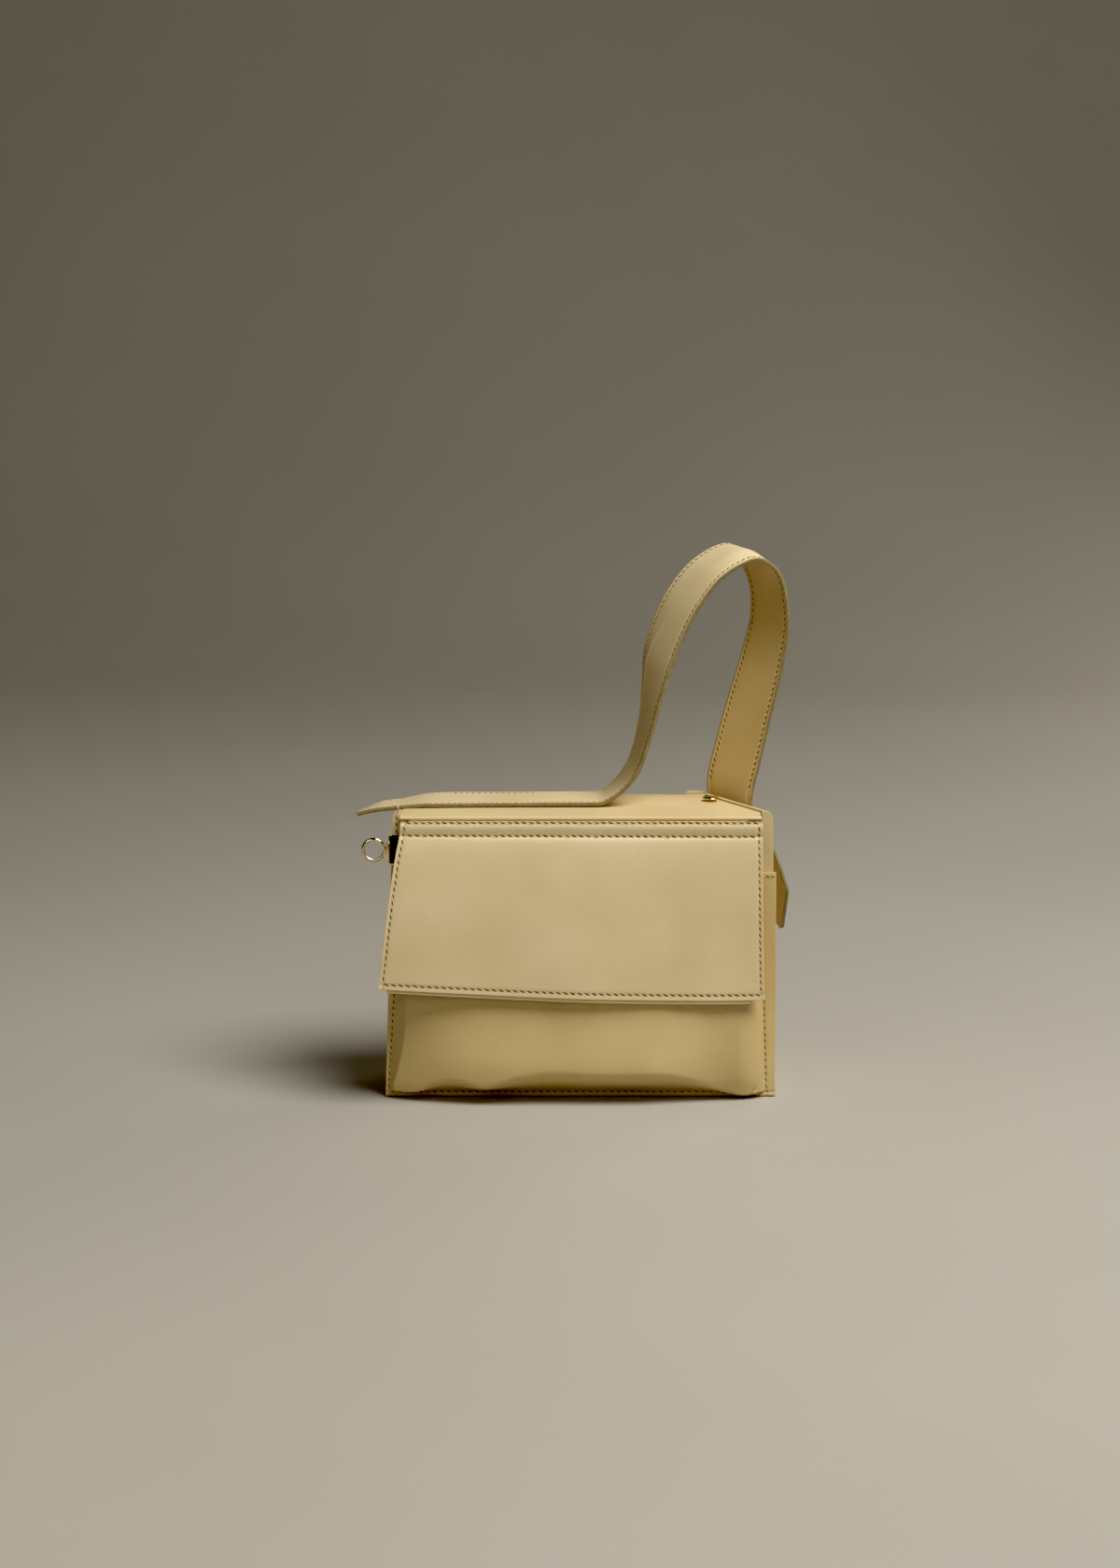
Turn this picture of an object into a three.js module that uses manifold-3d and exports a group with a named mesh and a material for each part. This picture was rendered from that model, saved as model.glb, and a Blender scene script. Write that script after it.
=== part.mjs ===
// A small leather handbag: a five-walled body with a lid, a puffed front pocket under a flap,
// a long strap whose middle stands up as a hand loop, and gold hardware.
// Millimetres, +X to the right of someone facing the bag, +Y to its back, +Z up.
// The origin is the middle of the base, on the surface that the bag stands on.

import * as THREE from 'three';
import { mergeVertices } from 'three/addons/utils/BufferGeometryUtils.js';
import Module from 'manifold-3d';

const wasm = await Module();
wasm.setup();

const { lerp, clamp, smoothstep, degToRad } = THREE.MathUtils;

// Leather and clearances
const WALL = 2.0;
const POCKET_WALL = 1.8;
const FLAP_WALL = 2.2;
const STRAP_THICKNESS = 2.0;
const GAP = 0.3;

// The body: a box that narrows towards its top, and much more towards its back
const BODY_HEIGHT = 141;
const FRONT_EDGE = { left: { base: -96.5, top: -92 }, right: { base: 96.5, top: 94.4 } };
const REAR_EDGE = { left: { base: -69.5, top: -65 }, right: { base: 69.5, top: 65 } };
const FRONT_FACE = { base: -31, top: -27.5 };
const REAR_FACE = { base: 31, top: 29.5 };
const BASE_THICKNESS = 2.4;
const SEAM_SETBACK = 1.5;
const GUSSET_BOW = 3;
const LEFT_GUSSET_DROP = 0.4;
const RIGHT_GUSSET_RISE = 1.0;

// The lid and its front lip
const LID_ROLL_RADIUS = 2.6;
const LID_CROWN = 0.6;
const LID_REAR_RISE = 0.5;
const LIP_LEFT = -88.4;
const LIP_RIGHT = 88.6;
const LIP_BOTTOM = 131.2;
const EAR_RISE = { left: 2.5, right: 2.2 };
const EAR_RADIUS = 5;
const NOTCH_DROP = 4.5;

// The pocket's outline on the front panel: its right edge, and how far its two seams are set in
const POCKET_RIGHT = { base: 96.7, top: 95.9 };
const POCKET_SEAM = { left: { base: 1.2, top: 5.8 }, right: { base: 4.4, top: 8.4 } };
const POCKET_ROLL = 20;
const POCKET_MIDDLE = { left: -30, right: 30 };
const POCKET_FLANGE = GAP + POCKET_WALL;

// How far the pocket stands off the front panel, in its middle, by its left fold and by its right roll,
// and how far the fold is set in from the left edge
const pocketSections = [
  { height: 0.6, middle: 2.1, corner: 2.1, shoulder: 2.1, fold: 5.0 },
  { height: 3.4, middle: 2.6, corner: 3.0, shoulder: 4.0, fold: 4.7 },
  { height: 7, middle: 7.5, corner: 6.0, shoulder: 8.5, fold: 4.2 },
  { height: 12, middle: 13.8, corner: 7.4, shoulder: 11.0, fold: 5.0 },
  { height: 19, middle: 18.6, corner: 8.6, shoulder: 12.9, fold: 6.7 },
  { height: 28, middle: 19.5, corner: 9.6, shoulder: 13.9, fold: 8.4 },
  { height: 40, middle: 19.0, corner: 10.0, shoulder: 14.0, fold: 9.2 },
  { height: 56, middle: 17.4, corner: 9.8, shoulder: 13.0, fold: 8.8 },
  { height: 76, middle: 14.2, corner: 8.6, shoulder: 10.8, fold: 9.0 },
  { height: 96, middle: 10.8, corner: 7.2, shoulder: 8.4, fold: 9.0 },
  { height: 113, middle: 7.6, corner: 5.6, shoulder: 6.2, fold: 9.0 },
];
const POCKET_FOLD_CURVE = 2.2;
const POCKET_ROLL_CURVE = 0.72;

// The flap's outer face: its side edges, and how far it stands off the front panel in its middle
// and by each edge
const flapSections = [
  { height: 51.2, left: -98.9, right: 90.2, middle: 22.5, leftOff: 21.8, rightOff: 16.5 },
  { height: 62, left: -97.6, right: 89.9, middle: 20.6, leftOff: 19.9, rightOff: 15.3 },
  { height: 78, left: -95.9, right: 89.6, middle: 17.7, leftOff: 17.2, rightOff: 13.6 },
  { height: 96, left: -93.9, right: 89.4, middle: 14.4, leftOff: 14.0, rightOff: 11.5 },
  { height: 113, left: -91.6, right: 89.2, middle: 11.0, leftOff: 10.7, rightOff: 9.2 },
  { height: 123, left: -90.1, right: 89.1, middle: 8.7, leftOff: 8.5, rightOff: 7.6 },
  { height: 132, left: -88.5, right: 89.0, middle: 5.4, leftOff: 5.4, rightOff: 5.3 },
  { height: 138.1, left: -88.0, right: 89.0, middle: 5.0, leftOff: 5.0, rightOff: 5.0 },
  { height: 139.7, left: -87.9, right: 89.0, middle: 4.7, leftOff: 4.7, rightOff: 4.7 },
];
const FLAP_LEFT_LIFT = 6.7;
const FLAP_LIFT_CURVE = 1.6;
const FLAP_SIDE_CURVE = 1.8;

// The strap's route: its middle line, how far its width turns from straight back towards the left,
// and how far its far edge lifts
const STRAP_WIDTH = 27;
const STRAP_TIP_LENGTH = 20;
const STRAP_TIP_HALF_WIDTH = 0.8;
const strapStations = [
  { x: -110, y: 3, z: 136.6, turn: -8, lift: -6 },
  { x: -100, y: 3, z: 139.7, turn: -4, lift: -3 },
  { x: -88, y: 3, z: 141.2, turn: -1, lift: -2.4 },
  { x: -78, y: 3, z: 142.7, turn: 0, lift: 0.5 },
  { x: -68, y: 3, z: 143.1, turn: 0, lift: 2 },
  { x: -40, y: 3, z: 143.3, turn: 0, lift: 1.7 },
  { x: -6, y: 3, z: 143.6, turn: 0, lift: 1.7 },
  { x: 5.5, y: 3, z: 143.7, turn: 2, lift: 1.9 },
  { x: 10.2, y: 3, z: 144.1, turn: 3, lift: 2 },
  { x: 14.0, y: 3, z: 146, turn: 4, lift: 2.4 },
  { x: 20.4, y: 3, z: 151.2, turn: 5, lift: 3.4 },
  { x: 26.9, y: 3, z: 160.6, turn: 7, lift: 5 },
  { x: 33.1, y: 3, z: 181, turn: 11, lift: 5 },
  { x: 36.4, y: 3.5, z: 200, turn: 20, lift: 5 },
  { x: 40, y: 4, z: 218, turn: 31, lift: 10 },
  { x: 51, y: 6, z: 243.4, turn: 33, lift: 14 },
  { x: 65, y: 9, z: 259.5, turn: 31, lift: 13 },
  { x: 80, y: 13.5, z: 265.1, turn: 28, lift: 12 },
  { x: 91, y: 17, z: 254.6, turn: 33, lift: -7 },
  { x: 94.8, y: 19, z: 234, turn: 40, lift: 2 },
  { x: 91.2, y: 20.5, z: 211, turn: 47, lift: 9 },
  { x: 85.2, y: 21.5, z: 187, turn: 53, lift: 10 },
  { x: 79.3, y: 22.3, z: 162, turn: 58, lift: 9 },
  { x: 76.4, y: 22.8, z: 149, turn: 57, lift: 7 },
  { x: 76.1, y: 23, z: 140, turn: 52, lift: 1 },
  { x: 78.6, y: 23, z: 131.5, turn: 44, lift: -10 },
  { x: 84.4, y: 22.4, z: 123, turn: 37, lift: -16 },
  { x: 91, y: 21.6, z: 111.5, turn: 33, lift: -14 },
  { x: 97, y: 21, z: 96.5, turn: 31, lift: -10 },
  { x: 102.8, y: 20.5, z: 73.5, turn: 30, lift: -9 },
];
const STRAP_STEPS = 4;

// The tab that ties the strap to the back
const ANCHOR = { thickness: 1.2, left: 53.2, right: 62.8, bottom: 130, top: 142.6, corner: 2 };

// Hardware
const RIVET = { x: 65.5, y: 8.5, cap: 4.1, dome: 1.2, rim: 0.35, lift: 0.35 };
const RIVET_SHANK = { radius: 1.2, hole: 1.6, back: 3, backHeight: 0.8, slack: 0.3 };
const CLIP = { thickness: 1.0, bottom: 117, top: 132, plate: 4.2, sidePlate: 8, corner: 2.2, chamfer: 1 };
const RING = { outer: 6.0, wire: 1.6, x: -101.4, z: 124 };
const RING_NECK = { width: 8.0, narrow: 4.4, intoRing: 0.3, intoClip: 0.4 };

const LEATHER = { color: 0xd7be8c, roughness: 0.5, metalness: 0 };
const GOLD = { color: 0xd9c489, roughness: 0.2, metalness: 1 };

const group = new THREE.Group();

function addPiece(name, geometry, finish) {
  const mesh = new THREE.Mesh(geometry, new THREE.MeshStandardMaterial(finish));
  mesh.name = name;
  group.add(mesh);
  return mesh;
}

// The value of a size that is given at the base and at the top of the body
function atHeight(size, z) {
  return lerp(size.base, size.top, z / BODY_HEIGHT);
}

// A smooth curve through one column of a table, read at a given height
function column(table, name, at) {
  const last = table.length - 2;
  let i = 0;
  while (i < last && at > table[i + 1].height) i += 1;
  const slope = (k) => {
    const before = table[Math.max(k - 1, 0)];
    const after = table[Math.min(k + 1, table.length - 1)];
    return (after[name] - before[name]) / (after.height - before.height);
  };
  const [a, b] = [table[i], table[i + 1]];
  const span = b.height - a.height;
  const t = clamp((at - a.height) / span, 0, 1);
  const fromA = (1 + 2 * t) * (1 - t) ** 2 * a[name] + t * (1 - t) ** 2 * span * slope(i);
  const fromB = t * t * (3 - 2 * t) * b[name] - t * t * (1 - t) * span * slope(i + 1);
  return fromA + fromB;
}

// The heights of a table's rows and of the places halfway between them
function rowHeights(table) {
  const own = table.map((row) => row.height);
  const between = own.slice(1).map((height, i) => (height + own[i]) / 2);
  return [...own, ...between].sort((a, b) => a - b);
}

function spread(from, to, steps) {
  return Array.from({ length: steps + 1 }, (_, i) => lerp(from, to, i / steps));
}

// A closed sheet of even thickness. grid holds rows of points on its outer face; seen from outside,
// columns run left to right and rows bottom to top.
function thickSheet(grid, thickness) {
  const rows = grid.length;
  const columns = grid[0].length;
  const at = (i, j) => grid[clamp(i, 0, rows - 1)][clamp(j, 0, columns - 1)];
  const points = [];
  for (const face of [0, 1]) {
    for (let i = 0; i < rows; i += 1) {
      for (let j = 0; j < columns; j += 1) {
        const across = at(i, j + 1).clone().sub(at(i, j - 1));
        const upward = at(i + 1, j).clone().sub(at(i - 1, j));
        const normal = across.cross(upward).normalize();
        points.push(grid[i][j].clone().addScaledVector(normal, -thickness * face));
      }
    }
  }
  const outer = (i, j) => i * columns + j;
  const inner = (i, j) => rows * columns + outer(i, j);
  const triangles = [];
  const quad = (a, b, c, d) => triangles.push(a, b, c, a, c, d);
  for (let i = 0; i + 1 < rows; i += 1) {
    for (let j = 0; j + 1 < columns; j += 1) {
      quad(outer(i, j), outer(i, j + 1), outer(i + 1, j + 1), outer(i + 1, j));
      quad(inner(i, j), inner(i + 1, j), inner(i + 1, j + 1), inner(i, j + 1));
    }
  }
  const right = columns - 1;
  const top = rows - 1;
  for (let j = 0; j < right; j += 1) {
    quad(outer(0, j), inner(0, j), inner(0, j + 1), outer(0, j + 1));
    quad(outer(top, j), outer(top, j + 1), inner(top, j + 1), inner(top, j));
  }
  for (let i = 0; i < top; i += 1) {
    quad(outer(i, 0), outer(i + 1, 0), inner(i + 1, 0), inner(i, 0));
    quad(outer(i, right), inner(i, right), inner(i + 1, right), outer(i + 1, right));
  }
  const geometry = new THREE.BufferGeometry().setFromPoints(points);
  geometry.setIndex(triangles);
  return geometry;
}

function toSolid(geometry) {
  const bare = geometry.clone();
  bare.deleteAttribute('normal');
  bare.deleteAttribute('uv');
  const merged = mergeVertices(bare, 1e-4);
  const vertProperties = new Float32Array(merged.attributes.position.array);
  const triVerts = new Uint32Array(merged.index.array);
  return new wasm.Manifold(new wasm.Mesh({ numProp: 3, vertProperties, triVerts }));
}

function toGeometry(solid) {
  const mesh = solid.getMesh();
  const geometry = new THREE.BufferGeometry();
  geometry.setAttribute('position', new THREE.BufferAttribute(new Float32Array(mesh.vertProperties), 3));
  geometry.setIndex(new THREE.BufferAttribute(new Uint32Array(mesh.triVerts), 1));
  return geometry;
}

function extruded(shape, depth, curveSegments = 6) {
  return new THREE.ExtrudeGeometry(shape, { depth, bevelEnabled: false, curveSegments });
}

// The gussets' plan
const TOWARDS = { left: -1, right: 1 };
const gussetFront = (z) => atHeight(FRONT_FACE, z) + WALL + SEAM_SETBACK;
const gussetRear = (z) => atHeight(REAR_FACE, z) - WALL - GAP;
const gussetSlant = Math.atan2(
  FRONT_EDGE.right.base - REAR_EDGE.right.base,
  gussetRear(BODY_HEIGHT) - gussetFront(BODY_HEIGHT),
);

// Where a gusset's outer face is at a depth and height
function gussetX(side, y, z) {
  const share = (y - gussetFront(z)) / (gussetRear(z) - gussetFront(z));
  return lerp(atHeight(FRONT_EDGE[side], z), atHeight(REAR_EDGE[side], z), share);
}

// Where a flat panel that fits between the gussets ends
function insideX(side, y, z) {
  return gussetX(side, y, z) - TOWARDS[side] * ((WALL + GAP) / Math.cos(gussetSlant) + GAP);
}

// Front panel: full height in its two ears, lower between them, where the lid rolls over it
function frontPanelGeometry() {
  const notch = BODY_HEIGHT - NOTCH_DROP;
  const leftEar = BODY_HEIGHT + EAR_RISE.left;
  const rightEar = BODY_HEIGHT + EAR_RISE.right;
  const { left, right } = FRONT_EDGE;
  const shape = new THREE.Shape();
  shape.moveTo(left.base, 0);
  shape.lineTo(right.base, 0);
  shape.lineTo(right.top, rightEar - EAR_RADIUS);
  shape.quadraticCurveTo(right.top, rightEar, LIP_RIGHT + GAP, rightEar);
  shape.lineTo(LIP_RIGHT + GAP, notch);
  shape.lineTo(LIP_LEFT - GAP, notch);
  shape.lineTo(LIP_LEFT - GAP, leftEar);
  shape.quadraticCurveTo(left.top, leftEar, left.top, leftEar - EAR_RADIUS);
  shape.closePath();
  return extruded(shape, WALL);
}

// Back panel: a plain trapezoid
function backPanelGeometry() {
  const { left, right } = REAR_EDGE;
  const shape = new THREE.Shape();
  shape.moveTo(left.base, 0);
  shape.lineTo(right.base, 0);
  shape.lineTo(right.top, BODY_HEIGHT);
  shape.lineTo(left.top, BODY_HEIGHT);
  shape.closePath();
  return extruded(shape, WALL);
}

// A panel is drawn flat, stood up and leaned along the wall that it makes
function standPanel(mesh, face, innerOffset) {
  mesh.rotation.x = Math.PI / 2 - Math.atan2(face.top - face.base, BODY_HEIGHT);
  mesh.position.y = face.base + innerOffset;
}

// A gusset: its middle bows into the bag between base and lid
function gussetGeometry(side, top) {
  const heights = spread(0, top, 8);
  const shares = spread(0, 1, 6);
  const ordered = side === 'right' ? shares : [...shares].reverse();
  const grid = heights.map((z) => ordered.map((share) => {
    const y = lerp(gussetFront(z), gussetRear(z), share);
    const upright = Math.sin(Math.PI * clamp(z / BODY_HEIGHT, 0, 1)) ** 2;
    const bow = GUSSET_BOW * Math.sin(Math.PI * share) * upright;
    return new THREE.Vector3(gussetX(side, y, z) - TOWARDS[side] * bow, y, z);
  }));
  return thickSheet(grid, WALL);
}

function basePanelGeometry() {
  const front = FRONT_FACE.base + WALL + 2 * GAP;
  const rear = REAR_FACE.base - WALL - 2 * GAP;
  const shape = new THREE.Shape();
  shape.moveTo(insideX('left', front, BASE_THICKNESS), front);
  shape.lineTo(insideX('right', front, BASE_THICKNESS), front);
  shape.lineTo(insideX('right', rear, BASE_THICKNESS), rear);
  shape.lineTo(insideX('left', rear, BASE_THICKNESS), rear);
  shape.closePath();
  return extruded(shape, BASE_THICKNESS);
}

// Lid: its section runs down the lip, round the roll and back to the rear wall
function lidGeometry() {
  const lipY = (z) => atHeight(FRONT_FACE, z) - GAP - WALL;
  const rollZ = BODY_HEIGHT - LID_ROLL_RADIUS;
  const rollY = lipY(rollZ) + LID_ROLL_RADIUS;
  const section = [{ y: lipY(LIP_BOTTOM), z: LIP_BOTTOM }];
  for (const angle of spread(0, Math.PI / 2, 6)) {
    section.push({
      y: rollY - LID_ROLL_RADIUS * Math.cos(angle),
      z: rollZ + LID_ROLL_RADIUS * Math.sin(angle),
    });
  }
  for (const y of spread(rollY, gussetRear(BODY_HEIGHT) - GAP, 5).slice(1)) {
    section.push({ y, z: BODY_HEIGHT });
  }
  const grid = section.map(({ y, z }) => {
    const depth = Math.max(y, gussetFront(BODY_HEIGHT));
    const left = Math.max(insideX('left', depth, BODY_HEIGHT), LIP_LEFT);
    const right = Math.min(insideX('right', depth, BODY_HEIGHT), LIP_RIGHT);
    const inward = clamp((y - rollY) / (gussetRear(BODY_HEIGHT) - rollY), 0, 1);
    const swell = LID_CROWN * Math.sin(Math.PI * inward) + LID_REAR_RISE * inward;
    return spread(left, right, 6).map((x) => {
      const across = Math.sqrt(Math.max(Math.sin(Math.PI * (x - left) / (right - left)), 0));
      return new THREE.Vector3(x, y, z + swell * across);
    });
  });
  const hole = new THREE.CylinderGeometry(RIVET_SHANK.hole, RIVET_SHANK.hole, 3 * WALL, 16);
  hole.rotateX(Math.PI / 2).translate(RIVET.x, RIVET.y, BODY_HEIGHT - WALL / 2);
  return toGeometry(toSolid(thickSheet(grid, WALL)).subtract(toSolid(hole)));
}

// Pocket: a puffed patch whose left side is a folded wall and whose right side is a soft roll
function pocketGeometry() {
  const grid = rowHeights(pocketSections).map((z) => {
    const left = atHeight(FRONT_EDGE.left, z);
    const right = atHeight(POCKET_RIGHT, z);
    const seamLeft = left + atHeight(POCKET_SEAM.left, z);
    const foldLeft = left + column(pocketSections, 'fold', z);
    const rollRight = right - POCKET_ROLL;
    const seamRight = right - atHeight(POCKET_SEAM.right, z);
    const [middle, corner, shoulder] = ['middle', 'corner', 'shoulder']
      .map((name) => column(pocketSections, name, z));
    const xs = [
      left,
      ...spread(seamLeft, foldLeft, 3),
      ...spread(foldLeft, rollRight, 12).slice(1),
      ...spread(rollRight, seamRight, 5).slice(1),
      right,
    ];
    return xs.map((x) => {
      const fromFold = clamp((x - foldLeft) / (POCKET_MIDDLE.left - foldLeft), 0, 1);
      const pastRoll = clamp((x - rollRight) / (seamRight - rollRight), 0, 1);
      const rise = x < 0
        ? clamp((x - seamLeft) / (foldLeft - seamLeft), 0, 1)
        : (1 - pastRoll ** 2) ** POCKET_ROLL_CURVE;
      const puff = lerp(
        lerp(corner, middle, 1 - (1 - fromFold) ** POCKET_FOLD_CURVE),
        shoulder,
        smoothstep(x, POCKET_MIDDLE.right, rollRight),
      );
      return new THREE.Vector3(x, atHeight(FRONT_FACE, z) - lerp(POCKET_FLANGE, puff, rise), z);
    });
  });
  return thickSheet(grid, POCKET_WALL);
}

// Flap: stiff and almost flat across, pushed out by the pocket towards its lower edge
function flapGeometry() {
  const bottom = flapSections[0].height;
  const top = flapSections[flapSections.length - 1].height;
  const grid = rowHeights(flapSections).map((height) => {
    const left = column(flapSections, 'left', height);
    const right = column(flapSections, 'right', height);
    return spread(0, 1, 14).map((share) => {
      const towardsSide = Math.abs(2 * share - 1) ** FLAP_SIDE_CURVE;
      const off = lerp(
        column(flapSections, 'middle', height),
        column(flapSections, share < 0.5 ? 'leftOff' : 'rightOff', height),
        towardsSide,
      );
      const lift = FLAP_LEFT_LIFT * (1 - share) ** FLAP_LIFT_CURVE * (top - height) / (top - bottom);
      const z = height + lift;
      return new THREE.Vector3(lerp(left, right, share), atHeight(FRONT_FACE, z) - off, z);
    });
  });
  return thickSheet(grid, FLAP_WALL);
}

// The strap's places from end to end: its middle, its directions and its half width
function strapFrames() {
  const route = new THREE.CatmullRomCurve3(strapStations.map((s) => new THREE.Vector3(s.x, s.y, s.z)));
  const angles = new THREE.CatmullRomCurve3(strapStations.map((s) => new THREE.Vector3(s.turn, s.lift, 0)));
  const shares = spread(0, 1, (strapStations.length - 1) * STRAP_STEPS);
  const middles = shares.map((t) => route.getPoint(t));
  const end = middles[middles.length - 1];
  return shares.map((t, i) => {
    const middle = middles[i];
    const tangent = route.getTangent(t);
    const { x: turn, y: lift } = angles.getPoint(t);
    const width = new THREE.Vector3(
      -Math.sin(degToRad(turn)) * Math.cos(degToRad(lift)),
      Math.cos(degToRad(turn)) * Math.cos(degToRad(lift)),
      Math.sin(degToRad(lift)),
    );
    width.addScaledVector(tangent, -width.dot(tangent)).normalize();
    const outward = tangent.clone().cross(width);
    const fromTip = middle.distanceTo(end);
    const half = i * 2 > shares.length
      ? lerp(STRAP_TIP_HALF_WIDTH, STRAP_WIDTH / 2, clamp(fromTip / STRAP_TIP_LENGTH, 0, 1))
      : STRAP_WIDTH / 2;
    return { middle, width, outward, half };
  });
}

function strapGeometry() {
  const grid = strapFrames().map(({ middle, width, outward, half }) => [1, 0, -1].map((across) => (
    middle.clone().addScaledVector(width, across * half).addScaledVector(outward, STRAP_THICKNESS / 2)
  )));
  return thickSheet(grid, STRAP_THICKNESS);
}

// Anchor: a small tab on the back panel that ends at the strap's far edge and stands just above the lid
function anchorGeometry() {
  const { left, right, bottom, top, corner } = ANCHOR;
  const shape = new THREE.Shape();
  shape.moveTo(left + corner, bottom);
  shape.lineTo(right, bottom);
  shape.lineTo(right, top);
  shape.lineTo(left + corner, top);
  shape.quadraticCurveTo(left, top, left, top - corner);
  shape.lineTo(left, bottom + corner);
  shape.quadraticCurveTo(left, bottom, left + corner, bottom);
  return extruded(shape, ANCHOR.thickness);
}

// Rivet: a domed cap, its shank through the lid and a flat cap inside
function rivetGeometry() {
  const { cap, dome, rim } = RIVET;
  const { radius, back, backHeight, slack } = RIVET_SHANK;
  const under = -GAP - WALL - GAP - slack;
  const profile = [
    new THREE.Vector2(0, under - backHeight),
    new THREE.Vector2(back, under - backHeight),
    new THREE.Vector2(back, under),
    new THREE.Vector2(radius, under),
    new THREE.Vector2(radius, 0),
    new THREE.Vector2(cap, 0),
    new THREE.Vector2(cap, rim),
  ];
  for (const angle of spread(0, Math.PI / 2, 5).slice(1)) {
    profile.push(new THREE.Vector2(cap * Math.cos(angle), rim + (dome - rim) * Math.sin(angle)));
  }
  profile[profile.length - 1].x = 0;
  return new THREE.LatheGeometry(profile, 24);
}

// Edge clip: a folded plate over the front seam, cut to a rounded outline, with the ring on its fold
function clipGeometry() {
  const z = (CLIP.top + CLIP.bottom) / 2;
  const cornerX = atHeight(FRONT_EDGE.left, CLIP.bottom) - GAP;
  const frontY = atHeight(FRONT_FACE, CLIP.bottom) - GAP;
  const slant = new THREE.Vector2(Math.sin(gussetSlant), Math.cos(gussetSlant));
  const sideStart = new THREE.Vector2(cornerX, gussetFront(z));
  const sideEnd = sideStart.clone().addScaledVector(slant, CLIP.sidePlate);
  const outward = new THREE.Vector2(-slant.y, slant.x).multiplyScalar(CLIP.thickness);
  const plan = new THREE.Shape();
  plan.moveTo(cornerX + CLIP.plate, frontY);
  plan.lineTo(cornerX, frontY);
  plan.lineTo(sideStart.x, sideStart.y);
  plan.lineTo(sideEnd.x, sideEnd.y);
  plan.lineTo(sideEnd.x + outward.x, sideEnd.y + outward.y);
  plan.lineTo(cornerX - CLIP.thickness, sideStart.y);
  const plateY = frontY - CLIP.thickness;
  plan.quadraticCurveTo(cornerX - CLIP.thickness, plateY, cornerX, plateY);
  plan.lineTo(cornerX + CLIP.plate, plateY);
  plan.closePath();
  const wrap = extruded(plan, CLIP.top - CLIP.bottom).translate(0, 0, CLIP.bottom);

  const outer = cornerX - CLIP.thickness;
  const outline = new THREE.Shape();
  outline.moveTo(outer, CLIP.bottom + CLIP.chamfer);
  outline.lineTo(outer, CLIP.top - CLIP.corner);
  outline.quadraticCurveTo(outer, CLIP.top, outer + CLIP.corner, CLIP.top);
  outline.lineTo(cornerX + CLIP.plate, CLIP.top);
  outline.lineTo(cornerX + CLIP.plate, CLIP.bottom);
  outline.lineTo(outer + CLIP.chamfer, CLIP.bottom);
  outline.closePath();
  const reach = 4 * CLIP.sidePlate;
  const window = extruded(outline, reach).rotateX(Math.PI / 2).translate(0, reach / 2 + frontY, 0);

  const ringY = frontY + CLIP.thickness / 2;
  const ring = new THREE.TorusGeometry(RING.outer - RING.wire / 2, RING.wire / 2, 10, 32);
  ring.rotateX(Math.PI / 2).translate(RING.x, ringY, RING.z);
  const neck = new THREE.Shape();
  const neckStart = RING.x + RING.outer - RING.wire + RING_NECK.intoRing;
  const neckEnd = outer + RING_NECK.intoClip;
  neck.moveTo(neckStart, -RING_NECK.narrow / 2);
  neck.lineTo(neckEnd, -RING_NECK.width / 2);
  neck.lineTo(neckEnd, RING_NECK.width / 2);
  neck.lineTo(neckStart, RING_NECK.narrow / 2);
  neck.closePath();
  const neckBar = extruded(neck, RING.wire).rotateX(Math.PI / 2);
  neckBar.translate(0, ringY + RING.wire / 2, RING.z);
  return toGeometry(
    toSolid(wrap).intersect(toSolid(window)).add(toSolid(ring)).add(toSolid(neckBar)),
  );
}

standPanel(addPiece('front_panel', frontPanelGeometry(), LEATHER), FRONT_FACE, WALL);
standPanel(addPiece('back_panel', backPanelGeometry(), LEATHER), REAR_FACE, 0);
addPiece('left_gusset', gussetGeometry('left', BODY_HEIGHT - LEFT_GUSSET_DROP), LEATHER);
addPiece('right_gusset', gussetGeometry('right', BODY_HEIGHT + RIGHT_GUSSET_RISE), LEATHER);
addPiece('base_panel', basePanelGeometry(), LEATHER);
addPiece('lid', lidGeometry(), LEATHER);
addPiece('front_pocket', pocketGeometry(), LEATHER);
addPiece('front_flap', flapGeometry(), LEATHER);
addPiece('strap', strapGeometry(), LEATHER);
standPanel(addPiece('strap_anchor', anchorGeometry(), LEATHER), REAR_FACE, GAP + ANCHOR.thickness);
const rivet = addPiece('rivet', rivetGeometry(), GOLD);
rivet.rotation.x = Math.PI / 2;
rivet.position.set(RIVET.x, RIVET.y, BODY_HEIGHT + RIVET.lift + GAP);
addPiece('edge_clip', clipGeometry(), GOLD);

export default group;
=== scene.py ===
import math

import bpy
import numpy as np
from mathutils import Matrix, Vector


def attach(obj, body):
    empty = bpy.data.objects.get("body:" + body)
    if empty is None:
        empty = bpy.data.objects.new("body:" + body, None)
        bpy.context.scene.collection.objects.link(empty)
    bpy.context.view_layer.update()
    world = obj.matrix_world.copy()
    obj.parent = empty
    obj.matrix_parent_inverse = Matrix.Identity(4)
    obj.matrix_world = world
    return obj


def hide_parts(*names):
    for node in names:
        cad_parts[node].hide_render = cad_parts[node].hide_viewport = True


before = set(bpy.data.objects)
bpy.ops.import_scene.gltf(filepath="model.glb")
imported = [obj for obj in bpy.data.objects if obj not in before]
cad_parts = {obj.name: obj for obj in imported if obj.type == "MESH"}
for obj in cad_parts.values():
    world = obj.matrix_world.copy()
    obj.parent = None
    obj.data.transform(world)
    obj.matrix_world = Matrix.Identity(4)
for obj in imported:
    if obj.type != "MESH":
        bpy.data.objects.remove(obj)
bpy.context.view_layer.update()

mm = 0.001  # sizes below are in millimetres
print("frame loaded:", ", ".join(sorted(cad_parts)))


# Small helpers

def table(names, *rows):  # rows of values under named columns
    return [dict(zip(names.split(), row)) for row in rows]


def mix(a, b, share):
    return a + (b - a) * share


def ease(share):
    t = np.clip(share, 0, 1)
    return t * t * (3 - 2 * t)


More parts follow.
